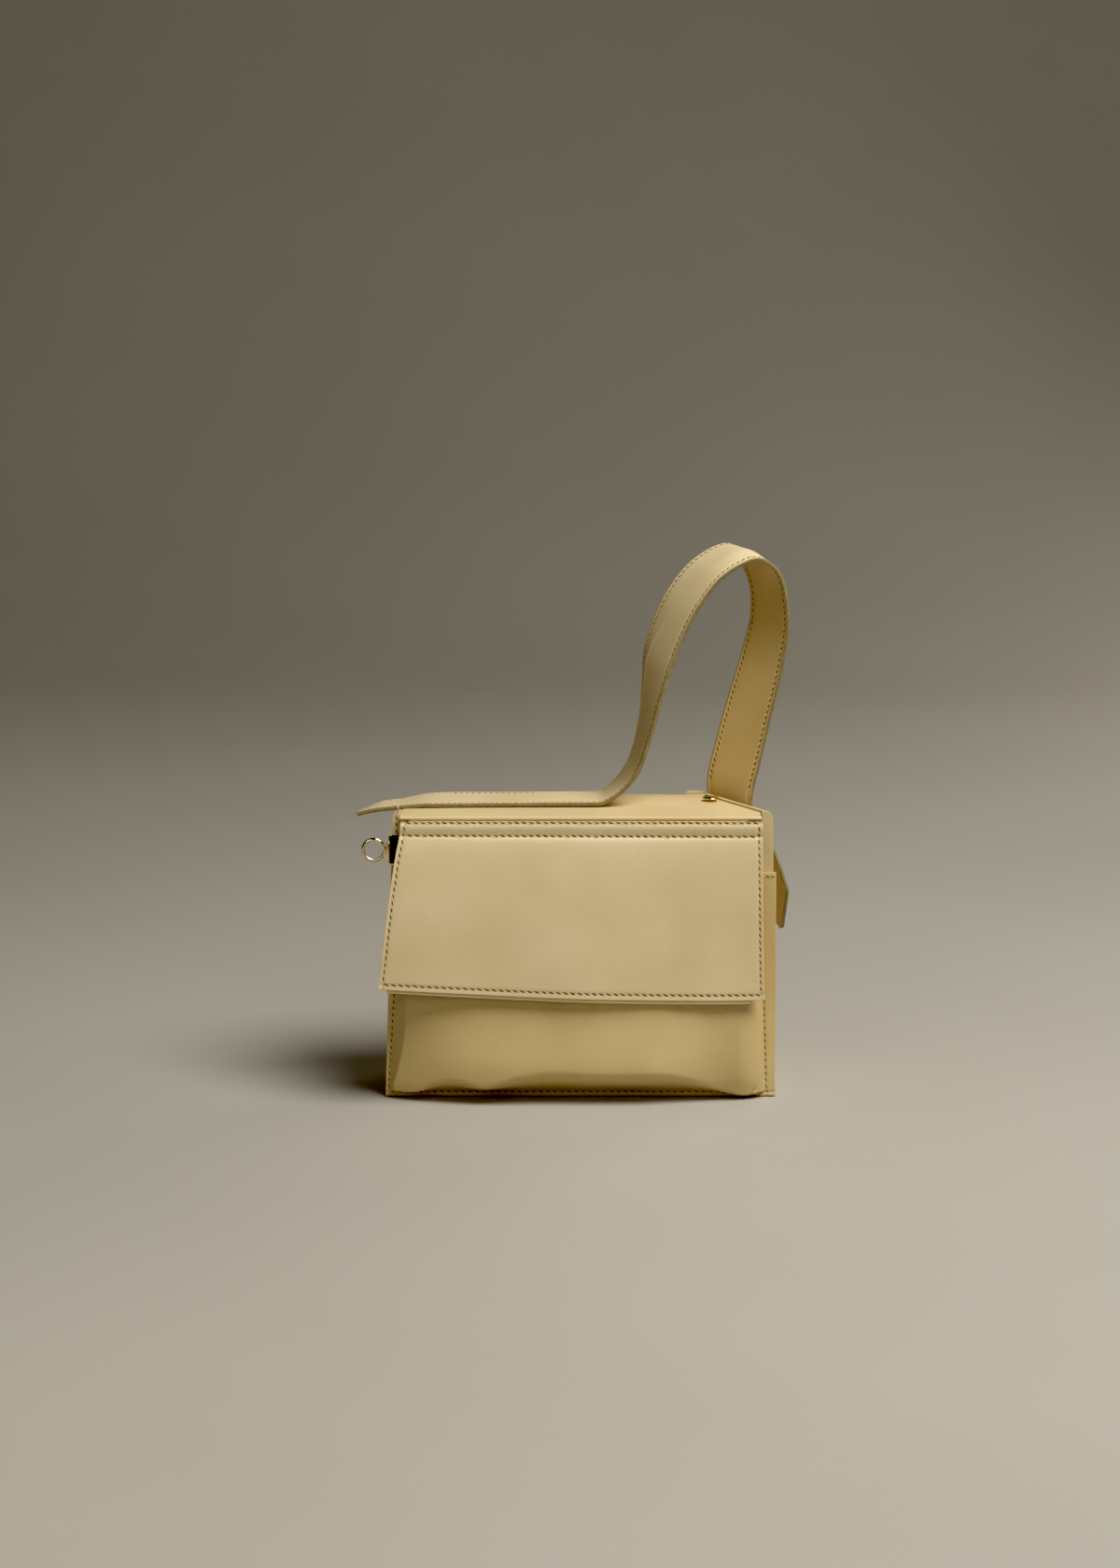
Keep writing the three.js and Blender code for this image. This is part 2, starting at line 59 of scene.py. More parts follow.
def arch(share):  # nothing at both ends, one in the middle
    return math.sin(math.pi * share)


def bump(distance, width):  # one at no distance, fading over a width
    return np.exp(-(distance / width) ** 2)


def curve(t, start, leave, end, arrive):  # from start to end, with a slope at each
    return ((1 + 2 * t) * (1 - t) ** 2 * start + t * (1 - t) ** 2 * leave
            + t * t * (3 - 2 * t) * end - t * t * (1 - t) * arrive)


def through(rows, key, name, at):  # a smooth curve through one column of a table
    k = np.array([row[key] for row in rows], float)
    v = np.array([row[name] for row in rows], float)
    slope = np.concatenate((
        [(v[1] - v[0]) / (k[1] - k[0])],
        (v[2:] - v[:-2]) / (k[2:] - k[:-2]),
        [(v[-1] - v[-2]) / (k[-1] - k[-2])],
    ))
    at = np.asarray(at, float)
    i = np.clip(np.searchsorted(k, at, side="right") - 1, 0, len(k) - 2)
    span = k[i + 1] - k[i]
    t = np.clip((at - k[i]) / span, 0, 1)
    return curve(t, v[i], span * slope[i], v[i + 1], span * slope[i + 1])


def readColumns(rows, key, names, at):
    return [through(rows, key, name, at) for name in names.split()]


def deselectAll():
    bpy.ops.object.select_all(action="DESELECT")


def editMode(on):
    bpy.ops.object.mode_set(mode="EDIT" if on else "OBJECT")


def onlySelect(piece):
    deselectAll()
    piece.select_set(True)
    bpy.context.view_layer.objects.active = piece


def putIn(name, data):
    holder = bpy.data.objects.new(name, data)
    bpy.context.scene.collection.objects.link(holder)
    return holder


def layGrid(name, points):  # a grid whose vertices are laid on rows of points
    points = np.asarray(points, float)
    rows, columns = points.shape[:2]
    deselectAll()
    bpy.ops.mesh.primitive_grid_add(x_subdivisions=columns - 1, y_subdivisions=rows - 1, size=1)
    piece = bpy.context.object
    piece.name = name
    piece.data.name = name
    piece.data.vertices.foreach_set("co", (points * mm).astype(np.float32).ravel())
    piece.data.update()
    return piece


def pickFaces(piece, wanted):  # leaves the piece in edit mode with those faces selected
    onlySelect(piece)
    editMode(True)
    bpy.ops.mesh.select_mode(type="FACE")
    bpy.ops.mesh.select_all(action="DESELECT")
    editMode(False)
    for face in piece.data.polygons:
        face.select = wanted(face)
    editMode(True)


def useModifier(piece, kind, **settings):
    onlySelect(piece)
    bpy.ops.object.modifier_add(type=kind)
    modifier = piece.modifiers[-1]
    for setting, value in settings.items():
        setattr(modifier, setting, value)
    bpy.ops.object.modifier_apply(modifier=modifier.name)


def bevel(piece, width, segments, degrees, **more):  # rounds the edges that turn by more than an angle
    useModifier(piece, "BEVEL", width=width, segments=segments, limit_method="ANGLE",
                angle_limit=math.radians(degrees), **more)


def thicken(piece, wall, rounding):  # the wall grows inwards and its rim is rounded
    useModifier(piece, "SOLIDIFY", thickness=wall * mm, offset=-1, use_even_offset=True,
                material_offset_rim=1)
    bevel(piece, rounding * mm, 3, 50, material=1)
    onlySelect(piece)
    bpy.ops.object.shade_smooth()


def wear(piece, *materials):
    piece.data.materials.clear()
    for material in materials:
        piece.data.materials.append(material)


def joinInto(piece, *others):
    onlySelect(piece)
    for other in others:
        other.select_set(True)
    bpy.ops.object.join()


def settle(piece, slot, *nodes):  # the piece rides on the bag and stands for its nodes
    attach(piece, "root")
    if nodes:
        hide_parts(*nodes)
    print("made", piece.name, len(piece.data.polygons), "faces")


# Finishes

def seen(red, green, blue):  # a colour as it is seen on a screen, 0 to 255
    parts = (red / 255, green / 255, blue / 255)
    return tuple(c / 12.92 if c <= 0.04045 else ((c + 0.055) / 1.055) ** 2.4 for c in parts) + (1.0,)


leatherFinish = {
    "pale": (219, 200, 159),
    "deep": (211, 191, 146),
    "fine": (199, 177, 129),
    "blotches": 26,  # soft patches, to a metre
    "mottle": 650,
    "grain": 2300,
    "roughness": (0.46, 0.56),
    "shine": 0.65,
    "flecks": 0.22,
    "grainHeight": 0.05,
    "grainStrength": 0.35,
}
bodyFinish = dict(leatherFinish, pale=(220, 198, 152), deep=(212, 189, 139), fine=(200, 175, 121))
# Painted shade: the pocket's deeper, more golden copy of the leather stands in for warm light bounced into
# its shaded hollows and underside.
pocketShadeFinish = dict(leatherFinish, pale=(219, 195, 143), deep=(211, 186, 130), fine=(199, 171, 112))
# Painted shade: the strap's inner face gets a deeper, more golden copy of the leather, standing in for warm
# light bounced onto it.
liningShadeFinish = dict(leatherFinish, pale=(212, 187, 134), deep=(203, 177, 121), fine=(190, 162, 104))
edgeFinish = {"pale": (219, 199, 152), "deep": (204, 182, 132), "roughness": 0.42}
paintCoat = {"ripples": 320, "strength": 0.3, "height": 0.08}
strapEdgeFinish = {"pale": (152, 136, 94), "deep": (134, 118, 76), "roughness": 0.5}
threadFinish = {"pale": (230, 212, 168), "deep": (206, 184, 136), "twist": 1500, "roughness": 0.6}
# Painted shade: the needle holes are dark beads whose colour stands in for the shade inside each hole.
holeShadeFinish = {"pale": (124, 97, 52), "deep": (94, 70, 34), "speckle": 900, "roughness": 0.85}
goldFinish = {"pale": (246, 226, 178), "deep": (232, 206, 150), "wipe": 420, "roughness": (0.06, 0.14)}
# Painted highlight: besides its rougher finish, the satin copy's paler colour brightens the plate's rims,
# the bar and the ring's inner side.
satinHighlightFinish = dict(goldFinish, pale=(252, 240, 212), deep=(244, 228, 192), roughness=(0.3, 0.4))


def startMaterial(name):
    material = bpy.data.materials.new(name)
    material.use_nodes = True
    nodes = material.node_tree.nodes
    return material, nodes, material.node_tree.links, nodes["Principled BSDF"]


def addNode(nodes, kind, values):
    node = nodes.new("ShaderNode" + kind)
    for name, value in values.items():
        node.inputs[name].default_value = value
    return node


def addPattern(nodes, links, kind, values):  # a pattern that stays with the piece
    place = nodes.new("ShaderNodeTexCoord")
    pattern = addNode(nodes, kind, values)
    links.new(place.outputs["Object"], pattern.inputs["Vector"])
    return pattern


def addNoise(nodes, links, scale, detail=3.0, roughness=0.5):
    return addPattern(nodes, links, "TexNoise", {"Scale": scale, "Detail": detail, "Roughness": roughness})


def addRelief(nodes, links, shader, height, strength, depth):
    relief = addNode(nodes, "Bump", {"Strength": strength, "Distance": depth * mm})
    links.new(height, relief.inputs["Height"])
    links.new(relief.outputs["Normal"], shader.inputs["Normal"])


def addRamp(nodes, links, source, low, high, start=0.3, end=0.7):
    ramp = nodes.new("ShaderNodeValToRGB")
    ramp.color_ramp.elements[0].position = start
    ramp.color_ramp.elements[0].color = low
    ramp.color_ramp.elements[1].position = end
    ramp.color_ramp.elements[1].color = high
    links.new(source, ramp.inputs["Fac"])
    return ramp


def tint(nodes, links, shader, pattern, finish, start=0.3, end=0.7):  # the pattern sets the colour
    deep, pale = seen(*finish["deep"]), seen(*finish["pale"])
    ramp = addRamp(nodes, links, pattern.outputs["Fac"], deep, pale, start, end)
    links.new(ramp.outputs["Color"], shader.inputs["Base Color"])


def addRange(nodes, links, source, low, high):
    spread = addNode(nodes, "MapRange", {"From Min": 0.3, "From Max": 0.7, "To Min": low, "To Max": high})
    links.new(source, spread.inputs["Value"])
    return spread


def makeLeather(name, finish):
    material, nodes, links, shader = startMaterial(name)
    blotches = addNoise(nodes, links, finish["blotches"])
    mottle = addNoise(nodes, links, finish["mottle"], 4.0, 0.6)
    body = addRamp(nodes, links, blotches.outputs["Fac"], seen(*finish["deep"]), seen(*finish["pale"]))
    flecks = addRange(nodes, links, mottle.outputs["Fac"], 0.0, finish["flecks"])
    blend = nodes.new("ShaderNodeMix")
    blend.data_type = "RGBA"
    links.new(flecks.outputs["Result"], blend.inputs["Factor"])
    links.new(body.outputs["Color"], blend.inputs["A"])
    blend.inputs["B"].default_value = seen(*finish["fine"])
    links.new(blend.outputs["Result"], shader.inputs["Base Color"])
    gloss = addRange(nodes, links, blotches.outputs["Fac"], *finish["roughness"])
    links.new(gloss.outputs["Result"], shader.inputs["Roughness"])
    shader.inputs["Specular IOR Level"].default_value = finish["shine"]
    cells = addPattern(nodes, links, "TexVoronoi", {"Scale": finish["grain"]})
    height = nodes.new("ShaderNodeMath")
    height.operation = "ADD"
    links.new(cells.outputs["Distance"], height.inputs[0])
    links.new(mottle.outputs["Fac"], height.inputs[1])
    addRelief(nodes, links, shader, height.outputs["Value"], finish["grainStrength"], finish["grainHeight"])
    return material


def makeEdgePaint(name, finish):
    material, nodes, links, shader = startMaterial(name)
    coat = addNoise(nodes, links, paintCoat["ripples"], 4.0)
    tint(nodes, links, shader, coat, finish)
    shader.inputs["Roughness"].default_value = finish["roughness"]
    addRelief(nodes, links, shader, coat.outputs["Fac"], paintCoat["strength"], paintCoat["height"])
    return material


def makeThread(name, finish):
    material, nodes, links, shader = startMaterial(name)
    twist = addPattern(nodes, links, "TexWave", {"Scale": finish["twist"], "Distortion": 2.0})
    twist.bands_direction = "DIAGONAL"
    tint(nodes, links, shader, twist, finish, 0.1, 0.8)
    shader.inputs["Roughness"].default_value = finish["roughness"]
    return material


def makeHoleShade(name, finish):
    material, nodes, links, shader = startMaterial(name)
    shade = addNoise(nodes, links, finish["speckle"])
    tint(nodes, links, shader, shade, finish)
    shader.inputs["Roughness"].default_value = finish["roughness"]
    return material


def makeGold(name, finish):
    material, nodes, links, shader = startMaterial(name)
    shader.inputs["Metallic"].default_value = 1.0
    wipe = addNoise(nodes, links, finish["wipe"], 5.0)
    tint(nodes, links, shader, wipe, finish)
    gloss = addRange(nodes, links, wipe.outputs["Fac"], *finish["roughness"])
    links.new(gloss.outputs["Result"], shader.inputs["Roughness"])
    return material


leather = makeLeather("smoothLeather", leatherFinish)
bodyLeather = makeLeather("bodyLeather", bodyFinish)
pocketPaintedShadeLeather = makeLeather("pocketPaintedShadeLeather", pocketShadeFinish)
liningPaintedShadeLeather = makeLeather("liningPaintedShadeLeather", liningShadeFinish)
edgePaint = makeEdgePaint("edgePaint", edgeFinish)
strapEdge = makeEdgePaint("strapEdgePaint", strapEdgeFinish)
thread = makeThread("sewingThread", threadFinish)
needleHoleShade = makeHoleShade("needleHoleShade", holeShadeFinish)
gold = makeGold("polishedGold", goldFinish)
satinGoldPaintedHighlight = makeGold("satinGoldPaintedHighlight", satinHighlightFinish)
print("finishes ready")


# The body's walls: sizes that every panel shares, each pair at the base and at the lid

body = {
    "height": 141.0,
    "left": (-96.5, -92.0), "right": (96.5, 94.4),
    "rearLeft": (-69.5, -65.0), "rearRight": (69.5, 65.0),
    "front": (-31.0, -27.5), "rear": (31.0, 29.5),
    "wall": 2.0, "gap": 0.3, "setback": 1.5,
    "rounding": 0.6, "seam": 3.0,
}
leftSwell = {"depth": 6.0, "end": 0.7, "curve": 3}


def finishPanel(piece, node, material=bodyLeather, wall=body["wall"], rounding=body["rounding"]):
    wear(piece, material, edgePaint)
    thicken(piece, wall, rounding)
    settle(piece, "leather", node)
    return piece


def atHeight(name, z):
    low, high = body[name]
    return mix(low, high, z / body["height"])


def gussetFront(z):
    return atHeight("front", z) + body["wall"] + body["setback"]


def gussetRear(z):
    return atHeight("rear", z) - body["wall"] - body["gap"]


def gussetX(side, y, z):
    names = {"left": ("left", "rearLeft"), "right": ("right", "rearRight")}[side]
    share = (y - gussetFront(z)) / (gussetRear(z) - gussetFront(z))
    swell = 0
    if side == "left":  # the top of the left side swells out under the strap
        swell = leftSwell["depth"] * arch(min(max(share, 0) / leftSwell["end"], 1))
        swell *= (z / body["height"]) ** leftSwell["curve"]
    return mix(atHeight(names[0], z), atHeight(names[1], z), share) - swell


slant = math.atan2(body["right"][0] - body["rearRight"][0], gussetRear(0) - gussetFront(0))


def insideX(side, y, z):
    inset = (body["wall"] + body["gap"]) / math.cos(slant) + body["gap"]
    return gussetX(side, y, z) + (inset if side == "left" else -inset)


def between(low, high, edge, count):  # places close together by both ends, even in the middle
    low, high = float(low), float(high)
    near = [low + d for d in edge]
    far = [high - d for d in reversed(edge)]
    return np.array(near + list(np.linspace(near[-1], far[0], count + 2)[1:-1]) + far)


seamEdge = (0, 0.7, 1.4, 2.1, 2.6, 3.0, 3.4, 3.9, 4.8, 6.2)
groove = {"depth": 0.32, "width": 0.75}


def seamGroove(distance):  # thread pulls the leather in along a seam
    return groove["depth"] * bump(distance - body["seam"], groove["width"])


frontPanel = {"leftEar": 143.5, "rightEar": 143.2, "earDrop": 5.0, "earCorner": 3.0, "earTip": 0.2,
              "notch": 136.5, "lipLeft": -88.7, "lipRight": 88.9,
              "seam": 1.9, "grooveDepth": 0.25, "grooveWidth": 0.7,
              "seamLow": 128.0, "seamBelowEar": 2.2, "pitch": 3.3, "stitchScale": 0.8}


def makeFrontPanel():
    size = frontPanel
    heights = np.concatenate((np.linspace(0, 108, 28), np.linspace(112, size["notch"], 10),
                              size["notch"] + size["earDrop"] * np.sin(np.linspace(0, 1.45, 9))[1:]))
    topRow = heights[-1]
    points = []
    for z in heights:
        left, right = atHeight("left", min(z, size["notch"])), atHeight("right", min(z, size["notch"]))
        raised = max((z - size["notch"]) / (topRow - size["notch"]), 0)
        shrink = max(1 - raised ** size["earCorner"], 0) ** (1 / size["earCorner"])
        left = mix(size["lipLeft"] - size["earTip"], left, shrink)
        right = mix(size["lipRight"] + size["earTip"], right, shrink)
        xs = np.concatenate((np.linspace(left, size["lipLeft"], 7),
                             np.linspace(size["lipLeft"], size["lipRight"], 30)[1:-1],
                             np.linspace(size["lipRight"], right, 9)))
        pulled = size["grooveDepth"] * bump(xs - left - size["seam"], size["grooveWidth"])
        ear = np.where(xs < 0, size["leftEar"], size["rightEar"])
        up = np.where(z > size["notch"], mix(size["notch"], ear, raised), z)
        points.append([(x, atHeight("front", z) + g, h) for x, g, h in zip(xs, pulled, up)])
    panel = layGrid("frontPanel", points)
    pickFaces(panel, lambda face: face.center.z > size["notch"] * mm
              and size["lipLeft"] * mm < face.center.x < size["lipRight"] * mm)
    bpy.ops.mesh.delete(type="FACE")  # the lid rolls over the low middle between the ears
    editMode(False)
    return finishPanel(panel, "front_panel")


backPanel = {"bulge": 1.3, "corner": 1.5}


def makeBackPanel():
    points = []
    for z in between(0.0, body["height"], seamEdge, 30):
        left, right = atHeight("rearLeft", z), atHeight("rearRight", z)
        row = []
        for x in between(left, right, seamEdge, 36)[::-1]:
            side = min(x - left, right - x)
            inner = min(side, z, body["height"] - z)
            belly = arch((x - left) / (right - left)) * arch(z / body["height"])
            row.append((x, atHeight("rear", z) + backPanel["bulge"] * belly - seamGroove(inner), z))
        points.append(row)
    panel = layGrid("backPanel", points)
    return finishPanel(panel, "back_panel")


gusset = {"reachFront": 1.6, "reachRear": 0.4, "leftTop": 140.6, "rightTop": 142.0, "bow": 3.0,
          "ripple": 0.5, "waves": 3.1, "waveLean": 31, "corner": 4.0, "cornerRise": 8}


def makeGusset(side):
    top = gusset[side + "Top"]
    towards = -1 if side == "left" else 1
    points = []
    for z in np.linspace(0, top, 44):
        upright = arch(min(z / body["height"], 1)) ** 2
        row = []
        for share in np.linspace(0, 1, 30):
            y = mix(gussetFront(z) - gusset["reachFront"], gussetRear(z) + gusset["reachRear"], share)
            within = min(max(y, gussetFront(z)), gussetRear(z))  # its edges run straight on to the panels
            bow = gusset["bow"] * arch(share) * upright
            wave = math.sin(gusset["waves"] * math.pi * share + z / gusset["waveLean"])
            bow += gusset["ripple"] * wave * upright * arch(share)
            near = 1 - min((within - gussetFront(z)) / gusset["corner"], 1)
            cut = gusset["corner"] * (1 - math.sqrt(1 - near ** 2)) * (z / top) ** gusset["cornerRise"]
            row.append((gussetX(side, within, z) - towards * bow, y, z - cut))
        points.append(row if side == "right" else row[::-1])
    panel = layGrid(side + "Gusset", points)
    finishPanel(panel, side + "_gusset")


basePanel = {"thickness": 2.4, "edge": (0, 1, 2, 3, 4)}


def makeBasePanel():
    front = body["front"][0] + body["wall"] + 2 * body["gap"]
    rear = body["rear"][0] - body["wall"] - 2 * body["gap"]
    points = []
    z, edge = basePanel["thickness"], basePanel["edge"]
    for y in between(front, rear, edge, 12):
        left, right = insideX("left", y, z), insideX("right", y, z)
        points.append([(x, y, z) for x in between(left, right, edge, 30)])
    panel = layGrid("basePanel", points)
    finishPanel(panel, "base_panel", wall=basePanel["thickness"])


lid = {"roll": 1.05, "rollStart": -1.3, "overhang": 0.85, "lipLeft": -88.4, "lipRight": 88.6,
       "lipBottom": 131.2, "lipTop": 138.6, "crown": 0.6, "rearRise": 0.6, "edge": (0, 0.7, 1.5, 2.6, 4)}


def makeLid():
    top = body["height"]
    lipY = lambda z: atHeight("front", z) - body["gap"] - body["wall"]
    rollZ = top - lid["roll"]
    rollY = lipY(rollZ) + lid["roll"] - lid["overhang"]
    section = [(lipY(z), z) for z in np.linspace(lid["lipBottom"], lid["lipTop"], 6)]
    section += [(rollY - lid["roll"] * math.cos(a), rollZ + lid["roll"] * math.sin(a))
                for a in np.linspace(lid["rollStart"], math.pi / 2, 18)]
    section += [(y, top) for y in np.linspace(rollY, gussetRear(top) - body["gap"], 34)[1:]]
    points = []
    for y, z in section:
        depth = max(y, gussetFront(top))
        left = max(insideX("left", depth, top), lid["lipLeft"])
        right = min(insideX("right", depth, top), lid["lipRight"])
        row = []
        for x in between(left, right, lid["edge"], 50):
            inner = np.clip((y - rollY) / (gussetRear(top) - rollY), 0, 1)
            across = np.clip((x - left) / (right - left), 0, 1)
            swell = lid["crown"] * arch(inner) + lid["rearRise"] * inner
            row.append((x, y, z + swell * arch(across) ** 0.5))
        points.append(row)
    piece = layGrid("lid", points)
    finishPanel(piece, "lid")


frontPanelPiece = makeFrontPanel()
backPanelPiece = makeBackPanel()
makeGusset("left")
makeGusset("right")
makeBasePanel()
makeLid()


# The pocket: a puffed patch, flat outside its seams

pocket = {"wall": 1.8, "rounding": 0.5, "flange": 2.1, "top": 113.0, "right": (96.7, 95.9),
          "rightRoll": 20.0, "rollCurve": 0.72, "foldCurve": 2.2, "middleLeft": -30.0, "middleRight": 30.0,
          "bellySlope": 1.12, "bottomSeam": 2.5, "leftSeam": (1.2, 5.8), "rightSeam": (4.4, 8.4),
          "seamDepth": 0.28, "seamWidth": 0.6, "seamLimit": 0.45, "seamLip": 0.5,
          "sidePitch": 3.3, "lowPitch": 3.5, "hemPitch": 2.4, "stitchScale": 0.72,
          "lowEnd": 2.4, "hemDrop": 1.9, "hemEnds": (5.6, 0.7)}
# How far the pocket stands off in its middle, by its left fold and by its right roll, and the fold's inset
pocketSections = table(
    "height middle corner shoulder fold",
    (0.6, 16.6, 6.0, 8.4, 5.0),
    (4, 18.0, 6.6, 9.2, 4.6),
    (8, 19.4, 7.2, 10.6, 4.0),
    (12, 20.4, 7.8, 11.8, 5.0),
    (20, 20.9, 8.8, 13.2, 6.9),
    (28, 20.3, 9.6, 13.9, 8.4),
    (40, 19.0, 10.0, 14.0, 9.2),
    (56, 17.4, 9.8, 13.0, 8.8),
    (76, 14.2, 8.6, 10.8, 9.0),
    (96, 10.8, 7.2, 8.4, 9.0),
    (113, 7.6, 5.6, 6.2, 9.0),
)
# Where the pocket's underside starts, how far it climbs and how softly it turns
pocketBelly = table(
    "x foot rise turn",
    (-97, 2.8, 1.6, 0.25),
    (-90, 2.8, 1.6, 0.25),
    (-84, 2.8, 1.8, 0.25),
    (-79, 2.9, 2.8, 0.25),
    (-74, 3.0, 5.6, 0.3),
    (-68, 3.1, 8.4, 0.4),
    (-61, 3.1, 8.8, 0.4),
    (-53, 3.1, 6.8, 0.4),
    (-47, 3.1, 5.8, 0.4),
    (-41, 3.1, 7.4, 0.4),
    (-32, 3.1, 10.0, 0.4),
    (-18, 3.1, 11.8, 0.45),
    (10, 3.1, 11.2, 0.45),
    (42, 3.1, 11.4, 0.4),
    (53, 3.1, 9.4, 0.3),
    (60, 3.0, 6.8, 0.2),
    (66, 2.6, 4.6, 0.18),
    (72, 1.8, 3.0, 0.18),
    (77, 0.9, 2.2, 0.2),
    (82, 0.6, 1.9, 0.22),
    (88, 1.4, 1.8, 0.25),
    (97, 2.6, 1.8, 0.25),
)
pocketPinches = [  # short creases in the two bottom corners
    {"top": (86.4, 5.4), "bottom": (83.0, 1.0), "depth": 0.75, "width": 0.45},
    {"top": (-91.6, 3.4), "bottom": (-91.6, 0.6), "depth": 0.4, "width": 0.35},
]


def lineDistance(x, z, start, end):
    start, end = np.array(start), np.array(end)
    along = np.clip(((x - start[0]) * (end - start)[0] + (z - start[1]) * (end - start)[1])
                    / np.dot(end - start, end - start), 0, 1)
    return np.hypot(x - start[0] - along * (end - start)[0], z - start[1] - along * (end - start)[1])


def pocketRight(z):
    return mix(*pocket["right"], z / body["height"])


def pocketSeam(side, z):  # the two side seams lean away from the pocket's edges
    inset = mix(*pocket[side + "Seam"], z / body["height"])
    return atHeight("left", z) + inset if side == "left" else pocketRight(z) - inset


def softLimit(value, limit, blend):  # the lesser of the two, with a rounded corner
    share = np.clip(0.5 + 0.5 * (limit - value) / blend, 0, 1)
    return mix(limit, value, share) - blend * share * (1 - share)


def pocketFold(z):
    return atHeight("left", z) + through(pocketSections, "height", "fold", z)


def pocketStandOff(x, z):  # from the front panel's face to the pocket's face
    seamLeft, seamRight = pocketSeam("left", z), pocketSeam("right", z)
    fold, roll = pocketFold(z), pocketRight(z) - pocket["rightRoll"]
    leftward = np.clip((x - fold) / (pocket["middleLeft"] - fold), 0, 1)
    rightward = ease((x - pocket["middleRight"]) / (roll - pocket["middleRight"]))
    corner, shoulder, centre = readColumns(pocketSections, "height", "corner shoulder middle", z)
    full = mix(mix(corner, centre, 1 - (1 - leftward) ** pocket["foldCurve"]), shoulder, rightward)
    wallRise = np.clip((x - seamLeft - pocket["seamLip"]) / (fold - seamLeft - pocket["seamLip"]), 0, 1)
    across = np.clip((x - roll) / (seamRight - pocket["seamLip"] - roll), 0, 1)
    rollRise = (1 - across ** 2.0) ** pocket["rollCurve"]
    foot, rise, turn = readColumns(pocketBelly, "x", "foot rise turn", x)
    belly = softLimit(pocket["bellySlope"] * np.maximum(z - foot, 0) / rise, 1.0, turn)
    off = pocket["flange"] + (full - pocket["flange"]) * wallRise * rollRise * np.clip(belly, 0, 1)
    for crease in pocketPinches:
        away = lineDistance(x, z, crease["top"], crease["bottom"])
        off = off - crease["depth"] * bump(away, crease["width"])
    seams = (x - seamLeft, seamRight - x, z - pocket["bottomSeam"])
    off = off - pocket["seamDepth"] * sum(bump(away, pocket["seamWidth"]) for away in seams)
    return np.maximum(off, pocket["flange"] - pocket["seamLimit"])


def makePocket():
    heights = np.concatenate((np.arange(0.6, 4.0, 0.3), np.linspace(4.1, 18, 26), np.linspace(19, 60, 28),
                              np.linspace(62.5, pocket["top"], 22)))
    points = []
    for z in heights:
        left, right, fold = atHeight("left", z), pocketRight(z), pocketFold(z)
        seamLeft, seamRight = pocketSeam("left", z), pocketSeam("right", z)
        xs = np.concatenate((
            np.linspace(left, seamLeft - 0.35, 4), (seamLeft, seamLeft + 0.3),
            np.linspace(seamLeft + 0.5, fold - 0.35, 8),
            fold + np.array((0, 0.35, 0.9)),
            np.linspace(fold + 1.7, right - pocket["rightRoll"], 80),
            np.linspace(right - pocket["rightRoll"], seamRight - 0.5, 28)[1:],
            (seamRight - 0.2, seamRight, seamRight + 0.35),
            np.linspace(seamRight + 0.9, right, 6),
        ))
        off = pocketStandOff(xs, z)
        points.append([(x, atHeight("front", z) - o, z) for x, o in zip(xs, off)])
    piece = layGrid("frontPocket", points)
    # the pocket wears the golden copy of the leather, whose colour is painted shade
    return finishPanel(piece, "front_pocket", pocketPaintedShadeLeather, pocket["wall"], pocket["rounding"])


pocketPiece = makePocket()


# The flap: two layers sewn together round their edges

flap = {"layer": 0.5, "rounding": 0.2, "bottom": 52.6, "top": 138.75, "leftLift": 6.7, "liftCurve": 1.6,
        "sideCurve": 1.8, "sideSeam": 1.9, "bottomSeam": 2.5, "upperRow": 138.0, "lowerRow": 131.4,
        "puff": 0.2, "seamDepth": 0.3, "seamWidth": 0.75, "lowerInset": 1.5, "cornerGap": 1.2,
        "sidePitch": 3.3, "sideScale": 0.85}
flapLining = {"left": 4.4, "right": 7.0, "below": 1.8, "under": 0.52, "layer": 1.6, "rounding": 0.4}
# The flap's side edges, and how far it stands off the front panel
flapSections = table(
    "height left right middle leftOff rightOff",
    (52.6, -98.8, 90.2, 22.3, 21.6, 16.4),
    (62, -97.6, 89.9, 20.6, 19.9, 15.3),
    (78, -95.9, 89.6, 17.7, 17.2, 13.6),
    (96, -93.9, 89.35, 14.4, 14.0, 11.5),
    (113, -91.6, 89.2, 11.0, 10.7, 9.2),
    (123, -90.1, 89.1, 8.7, 8.5, 7.6),
    (129, -88.9, 89.05, 6.9, 6.5, 6.2),
    (132, -88.5, 89, 5.4, 5.4, 5.3),
    (135.6, -88.2, 89, 5.3, 5.3, 5.3),
    (137.6, -88, 89, 4.9, 4.9, 4.9),
    (138.75, -87.9, 89, 4.6, 4.6, 4.6),
)
# Slow swells and hollows of the flap
flapWaves = table(
    "x height reach swell",
    (-8, 76, 32, 0.8),
    (-86, 90, 30, 0.7),
    (34, 62, 28, -0.4),
    (-46, 68, 26, -0.4),
    (-10, 118, 40, -0.35),
)


